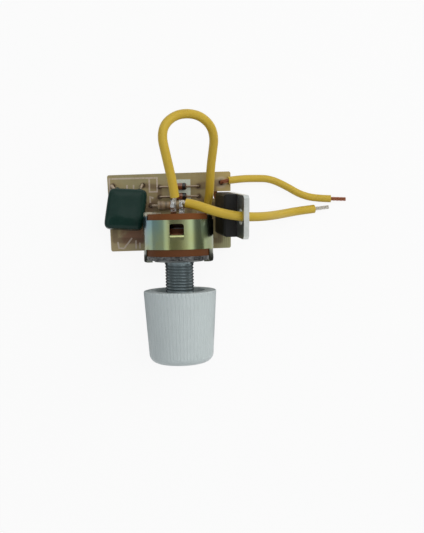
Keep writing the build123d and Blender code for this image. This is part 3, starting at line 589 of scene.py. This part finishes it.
# the board with its pale print, which is worn and only on the upper side
def paintBoard(b):
    f = laminate
    p = b.place()
    x, y, z = b.split(p)
    cloud = b.noise(p, *f["cloudMap"])
    weave = b.streaks(p, *f["warpMap"]) + b.streaks(p, *f["weftMap"])
    upper = b.fadePast(z, board["top"], silk["upper"])
    wearAndGrooveLight = b.patches(p, *silk["wornMap"])
    ink = b.boxMask(x, y, *silk["block"])
    lines = [b.frameMask(x, y, *corners, silk["lineWidth"]) for corners in silk["frames"]]
    for stroke in silk["strokes"]:
        lines += [b.strokeMask(x, y, *ends, silk["lineWidth"]) for ends in zip(stroke, stroke[1:])]
    line = b.larger(*lines)
    colour = paintLaminate(b, p, x, y, cloud, weave)
    colour = b.tint(colour, line * upper, silk["line"], wearAndGrooveLight)
    colour = b.tint(colour, ink * upper, silk["ink"], wearAndGrooveLight)
    height = weave + (ink + line) * upper * f["printHeight"]
    return b.skin(f, colour, cloud + line * f["lineGrain"], height)


dip = dict(
    waveMap=(0.45, 2.0), dark=(0.005, 0.0255, 0.019), light=(0.011, 0.0365, 0.028), peelMap=(2.6, 2.0),
    dustMap=(6.0, 2.0, 0.72, 0.8), dust=((0.10, 0.12, 0.10), 0.15),
    rough=0.13, roughSpan=0.08, gloss=0.17, waveHeight=3.0, peelHeight=0.2, relief=40 * micron, strength=0.4,
)


# green dipped lacquer, glossy with slow waves and specks of dust
def paintDip(b):
    f = dip
    p = b.place()
    waves = b.noise(p, *f["waveMap"])
    peel = b.noise(p, *f["peelMap"])
    colour = b.tint(b.base(f, waves), b.patches(p, *f["dustMap"]), f["dust"])
    return b.skin(f, colour, peel, waves * f["waveHeight"] + peel * f["peelHeight"])


epoxy = dict(
    grainMap=(8.0, 4.0), dark=(0.006, 0.006, 0.006), light=(0.019, 0.0185, 0.018),
    hazeMap=(0.5, 3.0), haze=((0.016, 0.0155, 0.015), 0.4),
    rough=0.36, roughSpan=0.22, gloss=0.26, relief=15 * micron, strength=0.5,
)


# black moulding compound with a fine mineral grain
def paintEpoxy(b):
    f = epoxy
    p = b.place()
    grain = b.noise(p, *f["grainMap"])
    colour = b.tint(b.base(f, grain), b.noise(p, *f["hazeMap"]), f["haze"])
    return b.skin(f, colour, grain, grain)


# each ring: its place along the body, its width and its shade
resistor = dict(
    centre=-2.4, ringEdge=0.07, ringShare=0.5, wobbleMap=(1.2, 2.0), wobble=0.25,
    rings=[(-2.35, 0.55, (0.10, 0.045, 0.02)), (-0.95, 0.5, (0.03, 0.025, 0.02)),
           (0.15, 0.5, (0.32, 0.13, 0.02)), (2.3, 0.5, (0.34, 0.25, 0.07))],
    cloudMap=(1.5, 3.0), dark=(0.25, 0.185, 0.108), light=(0.365, 0.28, 0.172),
    rough=0.30, roughSpan=0.12, coat=0.3, waveMap=(1.1, 2.0), relief=60 * micron, strength=0.5,
)


# beige lacquer with soft colour rings
def paintResistor(b):
    f = resistor
    p = b.place()
    cloud = b.noise(p, *f["cloudMap"])
    colour = b.base(f, cloud)
    along = b.split(p)[0] - f["centre"] + (b.noise(p, *f["wobbleMap"]) - 0.5) * f["wobble"]
    for centre, width, shade in f["rings"]:
        ring = b.lineMask(abs(along - centre), width, f["ringEdge"])
        colour = b.tint(colour, ring, (shade, f["ringShare"]))
    return {**b.skin(f, colour, cloud, b.noise(p, *f["waveMap"])), "Coat Weight": f["coat"]}


glass = dict(
    cloudMap=(1.6, 3.0), dark=(0.13, 0.034, 0.013), light=(0.22, 0.066, 0.025),
    stud=((0.26, 0.11, 0.055), 0.8), studFrom=(0.55, 0.75), studMetal=0.5,
    ring=(0.008, 0.008, 0.008), ringPlace=1.325, ringWidth=0.92, ringEdge=0.04,
    rough=0.07, ringRough=0.2, coat=1.0, ringCoat=-0.6, coatRough=0.03,
)


# small glass parts: amber body, pale studs at the ends and a painted black ring
def paintGlass(b):
    f = glass
    p = b.place()
    along = b.split(p)[0]
    stud = b.fade(abs(along), *f["studFrom"])
    ring = b.lineMask(abs(along - f["ringPlace"]), f["ringWidth"], f["ringEdge"])
    colour = b.base(f, b.noise(p, *f["cloudMap"]))
    colour = b.blend(ring, b.tint(colour, stud, f["stud"]), f["ring"])
    return {
        "Base Color": colour, "Metallic": stud * (1 - ring) * f["studMetal"],
        "Roughness": f["rough"] + f["ringRough"] * ring,
        "Coat Weight": f["coat"] + f["ringCoat"] * ring, "Coat Roughness": f["coatRough"],
    }


vinyl = dict(
    toneMap=(0.22, 3.0), dark=(0.54, 0.35, 0.018), light=(0.65, 0.46, 0.040), skinMap=(3.2, 3.0),
    smudgeMap=(0.9, 4.0, 0.56, 0.74), smudge=((0.36, 0.21, 0.02), 0.22),
    rough=0.36, roughSpan=0.16, relief=20 * micron, strength=0.45, glow=0.05, glowReach=(0.8, 0.5, 0.1),
)


# yellow vinyl: satin, with a few darker smudges
def paintVinyl(b):
    f = vinyl
    p = b.place()
    tone = b.noise(p, *f["toneMap"])
    skin = b.noise(p, *f["skinMap"])
    colour = b.tint(b.base(f, tone), b.patches(p, *f["smudgeMap"]), f["smudge"])
    return {
        **b.skin(f, colour, skin, skin + tone), "Subsurface Weight": f["glow"],
        "Subsurface Radius": Vector(f["glowReach"]) * mm, "Subsurface Scale": 1.0,
    }


lacquered = dict(
    cloudMap=(0.8, 4.0), dark=(0.30, 0.115, 0.045), light=(0.45, 0.20, 0.085), metal=0.9,
    tinMap=(0.5, 3.0, 0.45, 0.62), tin=((0.55, 0.54, 0.50), 0.7),
    rough=0.28, roughSpan=0.18, relief=20 * micron, strength=0.6,
)


# copper under lacquer, tinned in places, on the board's lower side
def paintTrack(b):
    f = lacquered
    p = b.place()
    cloud = b.noise(p, *f["cloudMap"])
    colour = b.tint(b.base(f, cloud), b.patches(p, *f["tinMap"]), f["tin"])
    return b.skin(f, colour, cloud, cloud)


paints = dict(
    zincYellow=paintCan, zincPlate=paintPlate, castBushing=paintBushing, brownPhenolic=paintPhenolic,
    whiteKnob=paintKnob, tanBoard=paintBoard, greenDip=paintDip, blackEpoxy=paintEpoxy,
    beigeLacquer=paintResistor, amberGlass=paintGlass, yellowVinyl=paintVinyl, boardTrack=paintTrack,
)
paints.update((name, grained(look)) for name, look in plainFinishes.items())
paints.update((name, grained({**tin, **look})) for name, look in tinFinishes.items())
for finishName, paint in paints.items():
    finish(finishName, paint)
print("finishes made:", len(finishes))

nodesOf = dict(
    zincYellow=["control_can"], zincPlate=["front_plate", "retaining_ring"], turnedShaft=["shaft"],
    castBushing=["threaded_bushing"], rotorMoulding=["rotor"], brownPhenolic=["track_wafer", "switch_wafer"],
    carbonInk=["resistive_track"], whiteKnob=["knob"], tanBoard=["circuit_board"],
    contactBronze=["collector_ring", "track_rivets", "track_wiper", "switch_strips", "switch_bridge"],
    tinnedMetal=["track_lugs", "switch_lugs", "switch_rivets"], brightSolder=["lug_solder", "solder_joints"],
    greenDip=["film_capacitor"], blackEpoxy=["triac_body"], tabPlate=["triac_tab"],
    beigeLacquer=["timing_resistor"], amberGlass=["trigger_diac", "clamp_diode"],
    dullLead=["capacitor_leads", "triac_legs", "resistor_leads", "diac_leads", "diode_leads"],
    yellowVinyl=["jumper_wire", "switch_lead", "board_lead"],
    tinnedStrand=["jumper_core", "switch_lead_core"], copperStrand=["board_lead_core"],
)


def paintWith(data, name):
    data.materials.clear()
    data.materials.append(finishes[name])


for finishName, nodeNames in nodesOf.items():
    for nodeName in nodeNames:
        paintWith(nodes[nodeName].data, finishName)
print("nodes finished:", sum(len(names) for names in nodesOf.values()))


# every piece made here is fixed to the module
def addPiece(name, data, slotName, *replaced, material=None):
    piece = addObject(name, data)
    if material:
        paintWith(data, material)
    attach(piece, "module")
    if replaced:
        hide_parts(*replaced)
    return piece


# a piece from a closed bmesh, with its faces turned outwards
def addMesh(name, mesh, slotName, *replaced, material, smooth=True):
    bmesh.ops.recalc_face_normals(mesh, faces=mesh.faces)
    data = bpy.data.meshes.new(name)
    mesh.to_mesh(data)
    mesh.free()
    if smooth:
        data.shade_smooth()
    addPiece(name, data, slotName, *replaced, material=material)


# threaded bushing, turned as one closed skin whose thread climbs with the angle
def makeBushing():
    s = bushing
    threadRun = s["collarEnd"] - s["end"]
    count = int(threadRun / s["pitch"] * s["pitchSteps"])
    stations = [s["collarEnd"] - threadRun * i / count for i in range(count + 1)]

    def threadRadius(y, turn):
        phase = (y / s["pitch"] + turn) % 1.0
        flank = min(1.0, max(0.0, s["flankSlope"] * abs(phase - 0.5) - s["rootFlat"]))
        fadeIn = min(1.0, (s["collarEnd"] - y) / (s["runIn"] * s["pitch"]))
        limit = s["thread"] - max(0.0, s["end"] + s["chamfer"] - y)
        return min(s["thread"] - s["depth"] * (1 - flank) * fadeIn, limit)

    mesh = bmesh.new()
    rings = []
    for i in range(s["turnSteps"]):
        turn = i / s["turnSteps"]
        profile = [
            (s["bore"], s["flangeRear"]), (s["flange"] - s["flangeBreak"], s["flangeRear"]),
            (s["flange"], s["flangeRear"] - s["flangeBreak"]), (s["flange"], s["padRear"]),
            (s["collar"], s["padRear"]), (s["collar"], s["collarEnd"] + s["collarBreak"]),
            (s["collar"] - s["collarBreak"], s["collarEnd"]),
        ]
        profile += [(threadRadius(y, turn), y) for y in stations[1:]]
        profile += [(s["bore"] + s["boreBreak"], s["end"]), (s["bore"], s["end"] + s["boreBreak"])]
        angle = 2 * pi * turn
        points = inMetres([(r * sin(angle), y, r * cos(angle)) for r, y in profile])
        rings.append([mesh.verts.new(point) for point in points])
    for i, ring in enumerate(rings):
        after = rings[(i + 1) % len(rings)]
        for j in range(len(ring)):
            k = (j + 1) % len(ring)
            mesh.faces.new((ring[j], after[j], after[k], ring[k]))
    addMesh("threadedSleeve", mesh, "zinc_casting", "threaded_bushing", material="castBushing")


makeBushing()
print("bushing threaded")


# geometry nodes: one tree per repeated or routed form, turned into a plain mesh at the end
class Forge(Bench):
    def __init__(self, name):
        super().__init__(bpy.data.node_groups.new(name, "GeometryNodeTree"))
        for way in ("INPUT", "OUTPUT"):
            self.tree.interface.new_socket("Geometry", in_out=way, socket_type="NodeSocketGeometry")
        self.start = self.make("NodeGroupInput")

    def dial(self, name, value):
        kind = "NodeSocketInt" if isinstance(value, int) else "NodeSocketFloat"
        socket = self.tree.interface.new_socket(name, in_out="INPUT", socket_type=kind)
        socket.default_value = value
        outputs = self.start.socket.node.outputs
        return Flow(self, next(o for o in outputs if o.identifier == socket.identifier))

    def random(self, low, high, seed):
        inputs = {2: low, 3: high, 8: seed}
        return self.make("FunctionNodeRandomValue", dict(data_type="FLOAT"), inputs, out=1)

    def end(self, flow, material):
        whole = self.make("GeometryNodeRealizeInstances", inputs={0: flow})
        smooth = self.make("GeometryNodeSetShadeSmooth", inputs={0: whole})
        painted = self.make("GeometryNodeSetMaterial", inputs={0: smooth, "Material": finishes[material]})
        self.make("NodeGroupOutput", inputs={0: painted})

    def bake(self, name, source):
        carrier = addObject(name + "Source", source)
        modifier = carrier.modifiers.new(name, "NODES")
        modifier.node_group = self.tree
        for item in self.tree.interface.items_tree:
            if item.in_out == "INPUT" and item.socket_type != "NodeSocketGeometry":
                modifier[item.identifier] = item.default_value
        bpy.context.view_layer.update()
        seen = carrier.evaluated_get(bpy.context.evaluated_depsgraph_get())
        data = bpy.data.meshes.new_from_object(seen)
        data.name = name
        bpy.data.objects.remove(carrier)
        return data


# solder under the board: a hollow-sided cone at each hole, every one turned and sized a little differently
joints = dict(
    baseRadius=1.05, tipRadius=0.34, height=1.36, waist=0.34, sides=28, rings=9, fillRings=2,
    smallest=0.86, largest=1.0, turnSeed=3, sizeSeed=5,
)


def makeJoints():
    j = joints
    forge = Forge("joints")
    height = forge.dial("Height", j["height"] * mm)
    base = forge.dial("Base", j["baseRadius"] * mm)
    tip = forge.dial("Tip", j["tipRadius"] * mm)
    cone = forge.make("GeometryNodeMeshCone", inputs={
        "Vertices": j["sides"], "Side Segments": j["rings"], "Fill Segments": j["fillRings"],
        "Radius Top": tip, "Radius Bottom": base, "Depth": height})
    x, y, z = forge.split(forge.make("GeometryNodeInputPosition"))
    level = forge.clamp(z / height)
    pinch = 1 - forge.maths("SINE", level * pi) * j["waist"]
    shaped = forge.make("GeometryNodeSetPosition", inputs={
        0: cone, "Position": forge.join(x * pinch, y * pinch, z * -1)})
    flipped = forge.make("GeometryNodeFlipFaces", inputs={0: shaped})
    turn = forge.random(0.0, 2 * pi, j["turnSeed"])
    size = forge.random(j["smallest"], j["largest"], j["sizeSeed"])
    spread = forge.make("GeometryNodeInstanceOnPoints", inputs={
        "Points": forge.start, "Instance": flipped, "Rotation": forge.join(0.0, 0.0, turn),
        "Scale": forge.join(size, size, 1.0)})
    forge.end(spread, "brightSolder")
    points = bpy.data.meshes.new("jointPoints")
    points.from_pydata(inMetres([(*hole, board["under"]) for hole in holes.values()]), [], [])
    addPiece("solderCones", forge.bake("solderCones", points), "solder", "solder_joints")


makeJoints()
print("solder joints set")


# a curve with one smooth line along each list of points
def smoothLines(name, routes, steps):
    curve = bpy.data.curves.new(name, "CURVE")
    curve.dimensions = "3D"
    for route in routes:
        spline = curve.splines.new("NURBS")
        spline.points.add(len(route) - 1)
        for point, place in zip(spline.points, inMetres(route)):
            point.co = (*place, 1)
        spline.order_u = 3
        spline.use_endpoint_u = True
        spline.resolution_u = steps
    return curve


# stranded ends: seven fine wires twisted round each bare path, the last of them along its middle
strands = dict(count=7, radius=0.155, reach=0.335, twist=1.1, step=0.25, sides=8, pathSteps=12)


def twistStrands(name, node, slotName, material, paths):
    s = strands
    forge = Forge(name)
    count = forge.dial("Count", s["count"])
    reach = forge.dial("Reach", s["reach"] * mm)
    twist = forge.dial("Twist", s["twist"] / mm)
    even = forge.make(
        "GeometryNodeResampleCurve", dict(mode="LENGTH"), {0: forge.start, "Length": s["step"] * mm})
    copies = forge.make("GeometryNodeDuplicateElements", dict(domain="SPLINE"), {0: even, "Amount": count})
    index = Flow(forge, copies.socket.node.outputs[1])
    normal = forge.make("GeometryNodeInputNormal")
    tangent = forge.make("GeometryNodeInputTangent")
    along = forge.make("GeometryNodeSplineParameter", out=1)
    outerCount = s["count"] - 1
    angle = index / outerCount * (2 * pi) + along * twist
    side = forge.make("ShaderNodeVectorRotate", dict(rotation_type="AXIS_ANGLE"),
                      {"Vector": normal, "Axis": tangent, "Angle": angle})
    outer = reach * (index < outerCount - 0.5)
    offset = forge.make("ShaderNodeVectorMath", dict(operation="SCALE"), {0: side, "Scale": outer})
    laid = forge.make("GeometryNodeSetPosition", inputs={0: copies, "Offset": offset})
    ring = forge.make("GeometryNodeCurvePrimitiveCircle", inputs={
        "Resolution": s["sides"], "Radius": s["radius"] * mm})
    tube = forge.make("GeometryNodeCurveToMesh", inputs={
        "Curve": laid, "Profile Curve": ring, "Fill Caps": True})
    forge.end(tube, material)
    data = forge.bake(name, smoothLines(name + "Paths", paths, s["pathSteps"]))
    return addPiece(name, data, slotName, node)


jumperEnds = twistStrands("jumperStrands", "jumper_core", "tinned_strands", "tinnedStrand", [
    [(-0.85, 12.65, 5.15), (-0.7, 14.0, 5.25), (-0.4, 15.7, 5.4)],
    [(7.2, 13.7, -8.2), (7.12, 13.45, -8.8), (*holes["jumper"], -9.4), (*holes["jumper"], board["leadTip"])],
])
switchLeadEnds = twistStrands("switchLeadStrands", "switch_lead_core", "tinned_strands", "tinnedStrand", [
    [(0.65, 14.42, 5.15), (1.4, 14.35, 5.3), (2.35, 14.13, 5.42)],
    [(35.1, 12.24, -11.25), (37.0, 12.44, -11.35), (39.05, 12.64, -11.3)],
])
boardLeadEnds = twistStrands("boardLeadStrands", "board_lead_core", "copper_strands", "copperStrand", [
    [(12.85, 20.02, -8.27), (11.9, 19.83, -8.2), (11.0, 19.62, -8.3), (*holes["boardLead"], -9.3),
     (*holes["boardLead"], board["leadTip"])],
    [(39.5, 14.81, -11.4), (41.5, 14.72, -11.4), (43.5, 14.62, -11.4)],
])
print("strands twisted")

# wires: one smooth line each, along the same points as their solids, with its length in metres
wires = dict(
    jumperInsulation=dict(
        node="jumper_wire", ends=jumperEnds, radius=1.1, length=0.053, far="object", stiffness="stiff",
        route=[
            (-0.4, 15.6, 5.4), (-0.8, 19.0, 6.3), (-1.5, 22.5, 7.4), (-2.25, 26.2, 8.2), (-2.9, 29.5, 8.3),
            (-2.25, 32.4, 7.7), (0.05, 34.55, 6.5), (3.05, 35.3, 5.0), (6.1, 34.85, 3.2), (8.55, 32.8, 1.4),
            (9.35, 30.0, -0.4), (8.9, 26.9, -2.0), (8.3, 23.1, -3.5), (8.05, 19.1, -4.9), (7.75, 15.8, -6.6),
            (7.2, 13.6, -8.3),
        ],
    ),
    switchLeadInsulation=dict(
        node="switch_lead", ends=switchLeadEnds, radius=1.1, length=0.0405, far="bare", stiffness="medium",
        route=[
            (2.25, 14.15, 5.4), (4.6, 13.65, 5.9), (7.3, 12.6, 6.45), (10.8, 11.45, 6.5), (14.4, 10.75, 5.9),
            (17.4, 10.5, 4.5), (20.5, 10.5, 1.9), (23.8, 10.75, -2.4), (27.3, 11.25, -7.0),
            (31.2, 11.85, -10.2), (35.2, 12.25, -11.3),
        ],
    ),
    boardLeadInsulation=dict(
        node="board_lead", ends=boardLeadEnds, radius=0.95, length=0.0300, far="bare", stiffness="medium",
        route=[
            (12.75, 20.0, -8.25), (16.0, 20.4, -9.0), (19.6, 20.5, -10.6), (23.7, 20.4, -11.3),
            (28.0, 18.35, -11.5), (31.4, 16.2, -11.4), (35.3, 15.0, -11.5), (39.6, 14.8, -11.4),
        ],
    ),
)
wireSteps = dict(along=10, round=8)


def layWire(name, wire):
    curve = smoothLines(name, [wire["route"]], wireSteps["along"])
    curve.bevel_depth = wire["radius"] * mm
    curve.bevel_resolution = wireSteps["round"]
    curve.use_fill_caps = True
    piece = addPiece(name, curve, "yellow_insulation", wire["node"], material="yellowVinyl")
    2 * wire["radius"] * mm


for wireName, wire in wires.items():
    layWire(wireName, wire)
print("wires laid")

# solder on the two switch lugs: uneven drops that have run round the wire ends
drops = dict(
    places=[(-0.85, 13.62), (1.15, 13.68)], bladeTop=4.7, radius=0.74, length=1.22, height=0.86, uneven=0.16,
    middle=0.3, sunk=0.02, narrowing=0.28, ripple=1.7, fineRipple=4.1, fineShare=0.5,
    shift=(9.0, 0.0, 0.0), start=(0.0, 2.0, 4.0), fineness=4,
)


def makeDrops():
    d = drops
    mesh = bmesh.new()
    for i, (x, y) in enumerate(d["places"]):
        offset = Vector(d["start"]) + Vector(d["shift"]) * i
        made = bmesh.ops.create_icosphere(mesh, subdivisions=d["fineness"], radius=1.0)
        for vert in made["verts"]:
            p = vert.co.copy()
            ripple = noise.noise(p * d["ripple"] + offset)
            ripple += d["fineShare"] * noise.noise(p * d["fineRipple"])
            p *= 1 + d["uneven"] * ripple
            lift = max(-d["sunk"], p.z * d["height"] + d["middle"])
            narrow = 1 - d["narrowing"] * max(0.0, p.y)
            vert.co = Vector((
                x + p.x * d["radius"] * narrow, y + p.y * d["length"], d["bladeTop"] + lift)) * mm
    addMesh("lugDrops", mesh, "solder", "lug_solder", material="brightSolder")


makeDrops()
print("lugs soldered")

# dipped capacitor: a soft pillow, a little uneven, with collars where the lacquer climbed the leads
pillow = dict(
    place=(-12.75, 18.15), lift=0.5, tilt=13, skew=-8, endTurn=4, width=9.8, length=10.5, depth=4.4,
    squareness=8.0, edgeSquareness=4.2, uneven=0.05, ripple=1.3, calmEdge=4, cuts=27,
    collars=[-2.9, 2.9], collarRadius=0.75, collarReach=0.55,
)


def makePillow():
    c = pillow
    mesh = bmesh.new()
    bmesh.ops.create_cube(mesh, size=2.0)
    bmesh.ops.subdivide_edges(mesh, edges=mesh.edges[:], cuts=c["cuts"], use_grid_fill=True)
    axis = board["top"] + c["lift"] + c["depth"] / 2
    turn = Matrix.Rotation(radians(c["skew"]), 4, "Z") @ Matrix.Rotation(radians(-c["tilt"]), 4, "X")
    seat = Matrix.Translation((*c["place"], axis)) @ turn
    n, m = c["squareness"], c["edgeSquareness"]
    shear = tan(radians(c["endTurn"]))
    for vert in mesh.verts:
        p = vert.co.copy()
        flat = (abs(p.x) ** n + abs(p.y) ** n) ** (1 / n)
        p /= (flat ** m + abs(p.z) ** m) ** (1 / m)
        wave = noise.noise(p * c["ripple"]) * c["uneven"]
        wave *= (1 - abs(p.x) ** c["calmEdge"]) * (1 - abs(p.y) ** c["calmEdge"])
        x = p.x * c["width"] / 2
        y = p.y * c["length"] / 2 + x * shear
        z = (p.z + (wave if p.z > 0 else 0)) * c["depth"] / 2
        if p.y > 0:
            for collar in c["collars"]:
                away = sqrt((x - collar) ** 2 + z ** 2) / c["collarRadius"]
                y += c["collarReach"] * max(0.0, 1 - away * away) * p.y
        vert.co = seat @ Vector((x, y - c["length"] / 2, z)) * mm
    addMesh("dippedPillow", mesh, "green_dip", "film_capacitor", material="greenDip")


makePillow()
print("capacitor dipped")

# copper on the lower side: a pad round every hole and rounded strips between them
copper = dict(thickness=0.05, padRadius=1.25, steps=16)


def makeTracks():
    mesh = bmesh.new()
    upper = board["under"] * mm
    lower = (board["under"] - copper["thickness"]) * mm
    half = copper["steps"] // 2

    def slab(outline):
        rings = [[mesh.verts.new((x * mm, y * mm, z)) for x, y in outline] for z in (upper, lower)]
        mesh.faces.new(rings[0])
        mesh.faces.new(rings[1][::-1])
        for i in range(len(outline)):
            k = (i + 1) % len(outline)
            mesh.faces.new((rings[0][k], rings[0][i], rings[1][i], rings[1][k]))

    for start, end, width in tracks:
        heading = atan2(end[1] - start[1], end[0] - start[0])
        outline = []
        for centre, first in ((end, heading - pi / 2), (start, heading + pi / 2)):
            for i in range(half + 1):
                angle = first + pi * i / half
                outline.append((centre[0] + cos(angle) * width / 2, centre[1] + sin(angle) * width / 2))
        slab(outline)
    for x, y in holes.values():
        turns = [2 * pi * i / copper["steps"] for i in range(copper["steps"])]
        slab([(x + copper["padRadius"] * cos(t), y + copper["padRadius"] * sin(t)) for t in turns])
    addMesh("copperTracks", mesh, "tinned_metal", material="boardTrack", smooth=False)


makeTracks()
print("tracks laid")

# size is in metres, and glow is how much white the camera and reflections see of the floor
floor = dict(size=3.0, colour=(0.86, 0.86, 0.86), rough=0.9, gloss=0.1, glow=0.9)


# an object of the stage: one four-sided face with a material of its own
def addSheet(name, corners):
    data = bpy.data.meshes.new(name)
    data.from_pydata(corners, [], [(0, 1, 2, 3)])
    sheet = addObject(name, data)
    material = bpy.data.materials.new(name)
    material.use_nodes = True
    data.materials.append(material)
    return sheet, Bench(material.node_tree)


def seenRays(b):
    rays = b.make("ShaderNodeLightPath").socket.node.outputs
    return b.larger(*[Flow(b, rays[n]) for n in ("Is Camera Ray", "Is Glossy Ray", "Is Transmission Ray")])


# matt floor that keeps the shadow and looks almost white to the camera
def makeFloor():
    size = floor["size"] / 2
    corners = [(-size, -size), (size, -size), (size, size), (-size, size)]
    sheet, b = addSheet("floor", [(x, y, board["floor"] * mm) for x, y in corners])
    shader = b.tree.nodes["Principled BSDF"]
    b.feed(shader.inputs["Base Color"], floor["colour"])
    b.feed(shader.inputs["Roughness"], floor["rough"])
    b.feed(shader.inputs["Specular IOR Level"], floor["gloss"])
    white = b.make("ShaderNodeEmission", inputs={"Color": (1, 1, 1), "Strength": 1.0})
    share = seenRays(b) * floor["glow"]
    mixed = b.make("ShaderNodeMixShader", inputs={0: share, 1: Flow(b, shader.outputs[0]), 2: white})
    b.feed(b.tree.nodes["Material Output"].inputs["Surface"], mixed)


# cards that only reflections see: a dark one overhead, where the camera stands, a bright slope to its right
# and a bright streak just below it, a dark one on the floor under the knob and bushing as a painted shadow
# seen in reflections, a bright one high at the rear, a dark one on the right and a grey one on the left.
# A row of shades gives steps along X.
cards = dict(
    overhead=dict(
        corners=[(-165, -130, 300), (245, -130, 300), (245, 130, 300), (-165, 130, 300)],
        shades=[(-165, 0.2), (-30, 0.22), (40, 0.3), (90, 0.37), (146, 0.5), (187, 0.75), (245, 1.0)],
    ),
    bright=dict(
        corners=[(245, -300, 300), (420, -300, 240), (420, 300, 240), (245, 300, 300)],
        shades=[(245, 1.05), (310, 1.0), (345, 0.55), (380, 0.3), (420, 0.18)],
    ),
    streak=dict(corners=[(96, -76, 298), (140, -76, 298), (140, -42, 298), (96, -42, 298)], shade=3.2),
    # painted shadow: a dark sheet seen only in reflections, under the knob and bushing
    under=dict(corners=[(-50, -22, -12.3), (40, -22, -12.3), (40, 1, -12.3), (-50, 1, -12.3)], shade=0.06),
    rear=dict(corners=[(-160, 360, 480), (240, 360, 480), (240, 480, 360), (-160, 480, 360)], shade=1.6),
    right=dict(corners=[(420, -300, -12), (420, 300, -12), (420, 300, 240), (420, -300, 240)], shade=0.16),
    left=dict(
        corners=[(-420, -400, -12), (-420, 400, -12), (-420, 400, 420), (-420, -400, 420)], shade=0.46,
    ),
)


def makeCard(name, corners, shade=None, shades=None):
    sheet, b = addSheet(name + "Card", inMetres(corners))
    colour = (shade,) * 3
    if shades:
        start, end = shades[0][0], shades[-1][0]
        along = b.fade(b.split(b.place())[0], start, end, smooth=False)
        colour = b.ramp(along, [((at - start) / (end - start), (level,) * 3) for at, level in shades])
    glow = b.make("ShaderNodeEmission", inputs={"Color": colour, "Strength": 1.0})
    b.feed(b.tree.nodes["Material Output"].inputs["Surface"], glow)
    for ray in ("camera", "diffuse", "shadow", "transmission"):
        setattr(sheet, "visible_" + ray, False)


# each lamp: its place and size in mm, its power in watts, its tint and whether reflections show it
lamps = dict(
    key=dict(place=(405, 250, 400), size=(420, 900), power=2.1, tint=(1.0, 0.985, 0.95), mirrored=False),
    left=dict(place=(-500, 80, 330), size=(420, 700), power=0.12, tint=(0.93, 0.97, 1.0), mirrored=True),
    front=dict(place=(40, -520, 420), size=(600, 300), power=0.06, tint=(1.0, 1.0, 1.0), mirrored=True),
    rear=dict(place=(60, 540, 400), size=(600, 300), power=0.18, tint=(1.0, 1.0, 1.0), mirrored=True),
    top=dict(place=(40, 90, 640), size=(420, 420), power=0.35, tint=(1.0, 1.0, 1.0), mirrored=True),
)
surround = dict(lampTarget=(5, 8, 0), colour=(0.96, 0.98, 1.0), level=0.40, seenLevel=0.5)


def makeLamp(name, lamp):
    data = bpy.data.lights.new(name, "AREA")
    data.shape = "RECTANGLE"
    data.size, data.size_y = (s * mm for s in lamp["size"])
    data.energy = lamp["power"]
    data.color = lamp["tint"]
    light = addObject(name, data)
    light.visible_glossy = lamp["mirrored"]
    place, target = inMetres([lamp["place"], surround["lampTarget"]])
    turn = (target - place).to_track_quat("-Z", "Y").to_matrix().to_4x4()
    light.matrix_world = Matrix.Translation(place) @ turn


def makeWorld():
    world = bpy.data.worlds.new("studio")
    bpy.context.scene.world = world
    world.use_nodes = True
    b = Bench(world.node_tree)
    background = world.node_tree.nodes["Background"]
    b.feed(background.inputs["Color"], surround["colour"])
    b.feed(background.inputs["Strength"], surround["level"] + surround["seenLevel"] * seenRays(b))


makeFloor()
for cardName, card in cards.items():
    makeCard(cardName, **card)
for lampName, lamp in lamps.items():
    makeLamp(lampName, lamp)
makeWorld()
bpy.context.scene.view_settings.view_transform = "Standard"
print("stage lit")
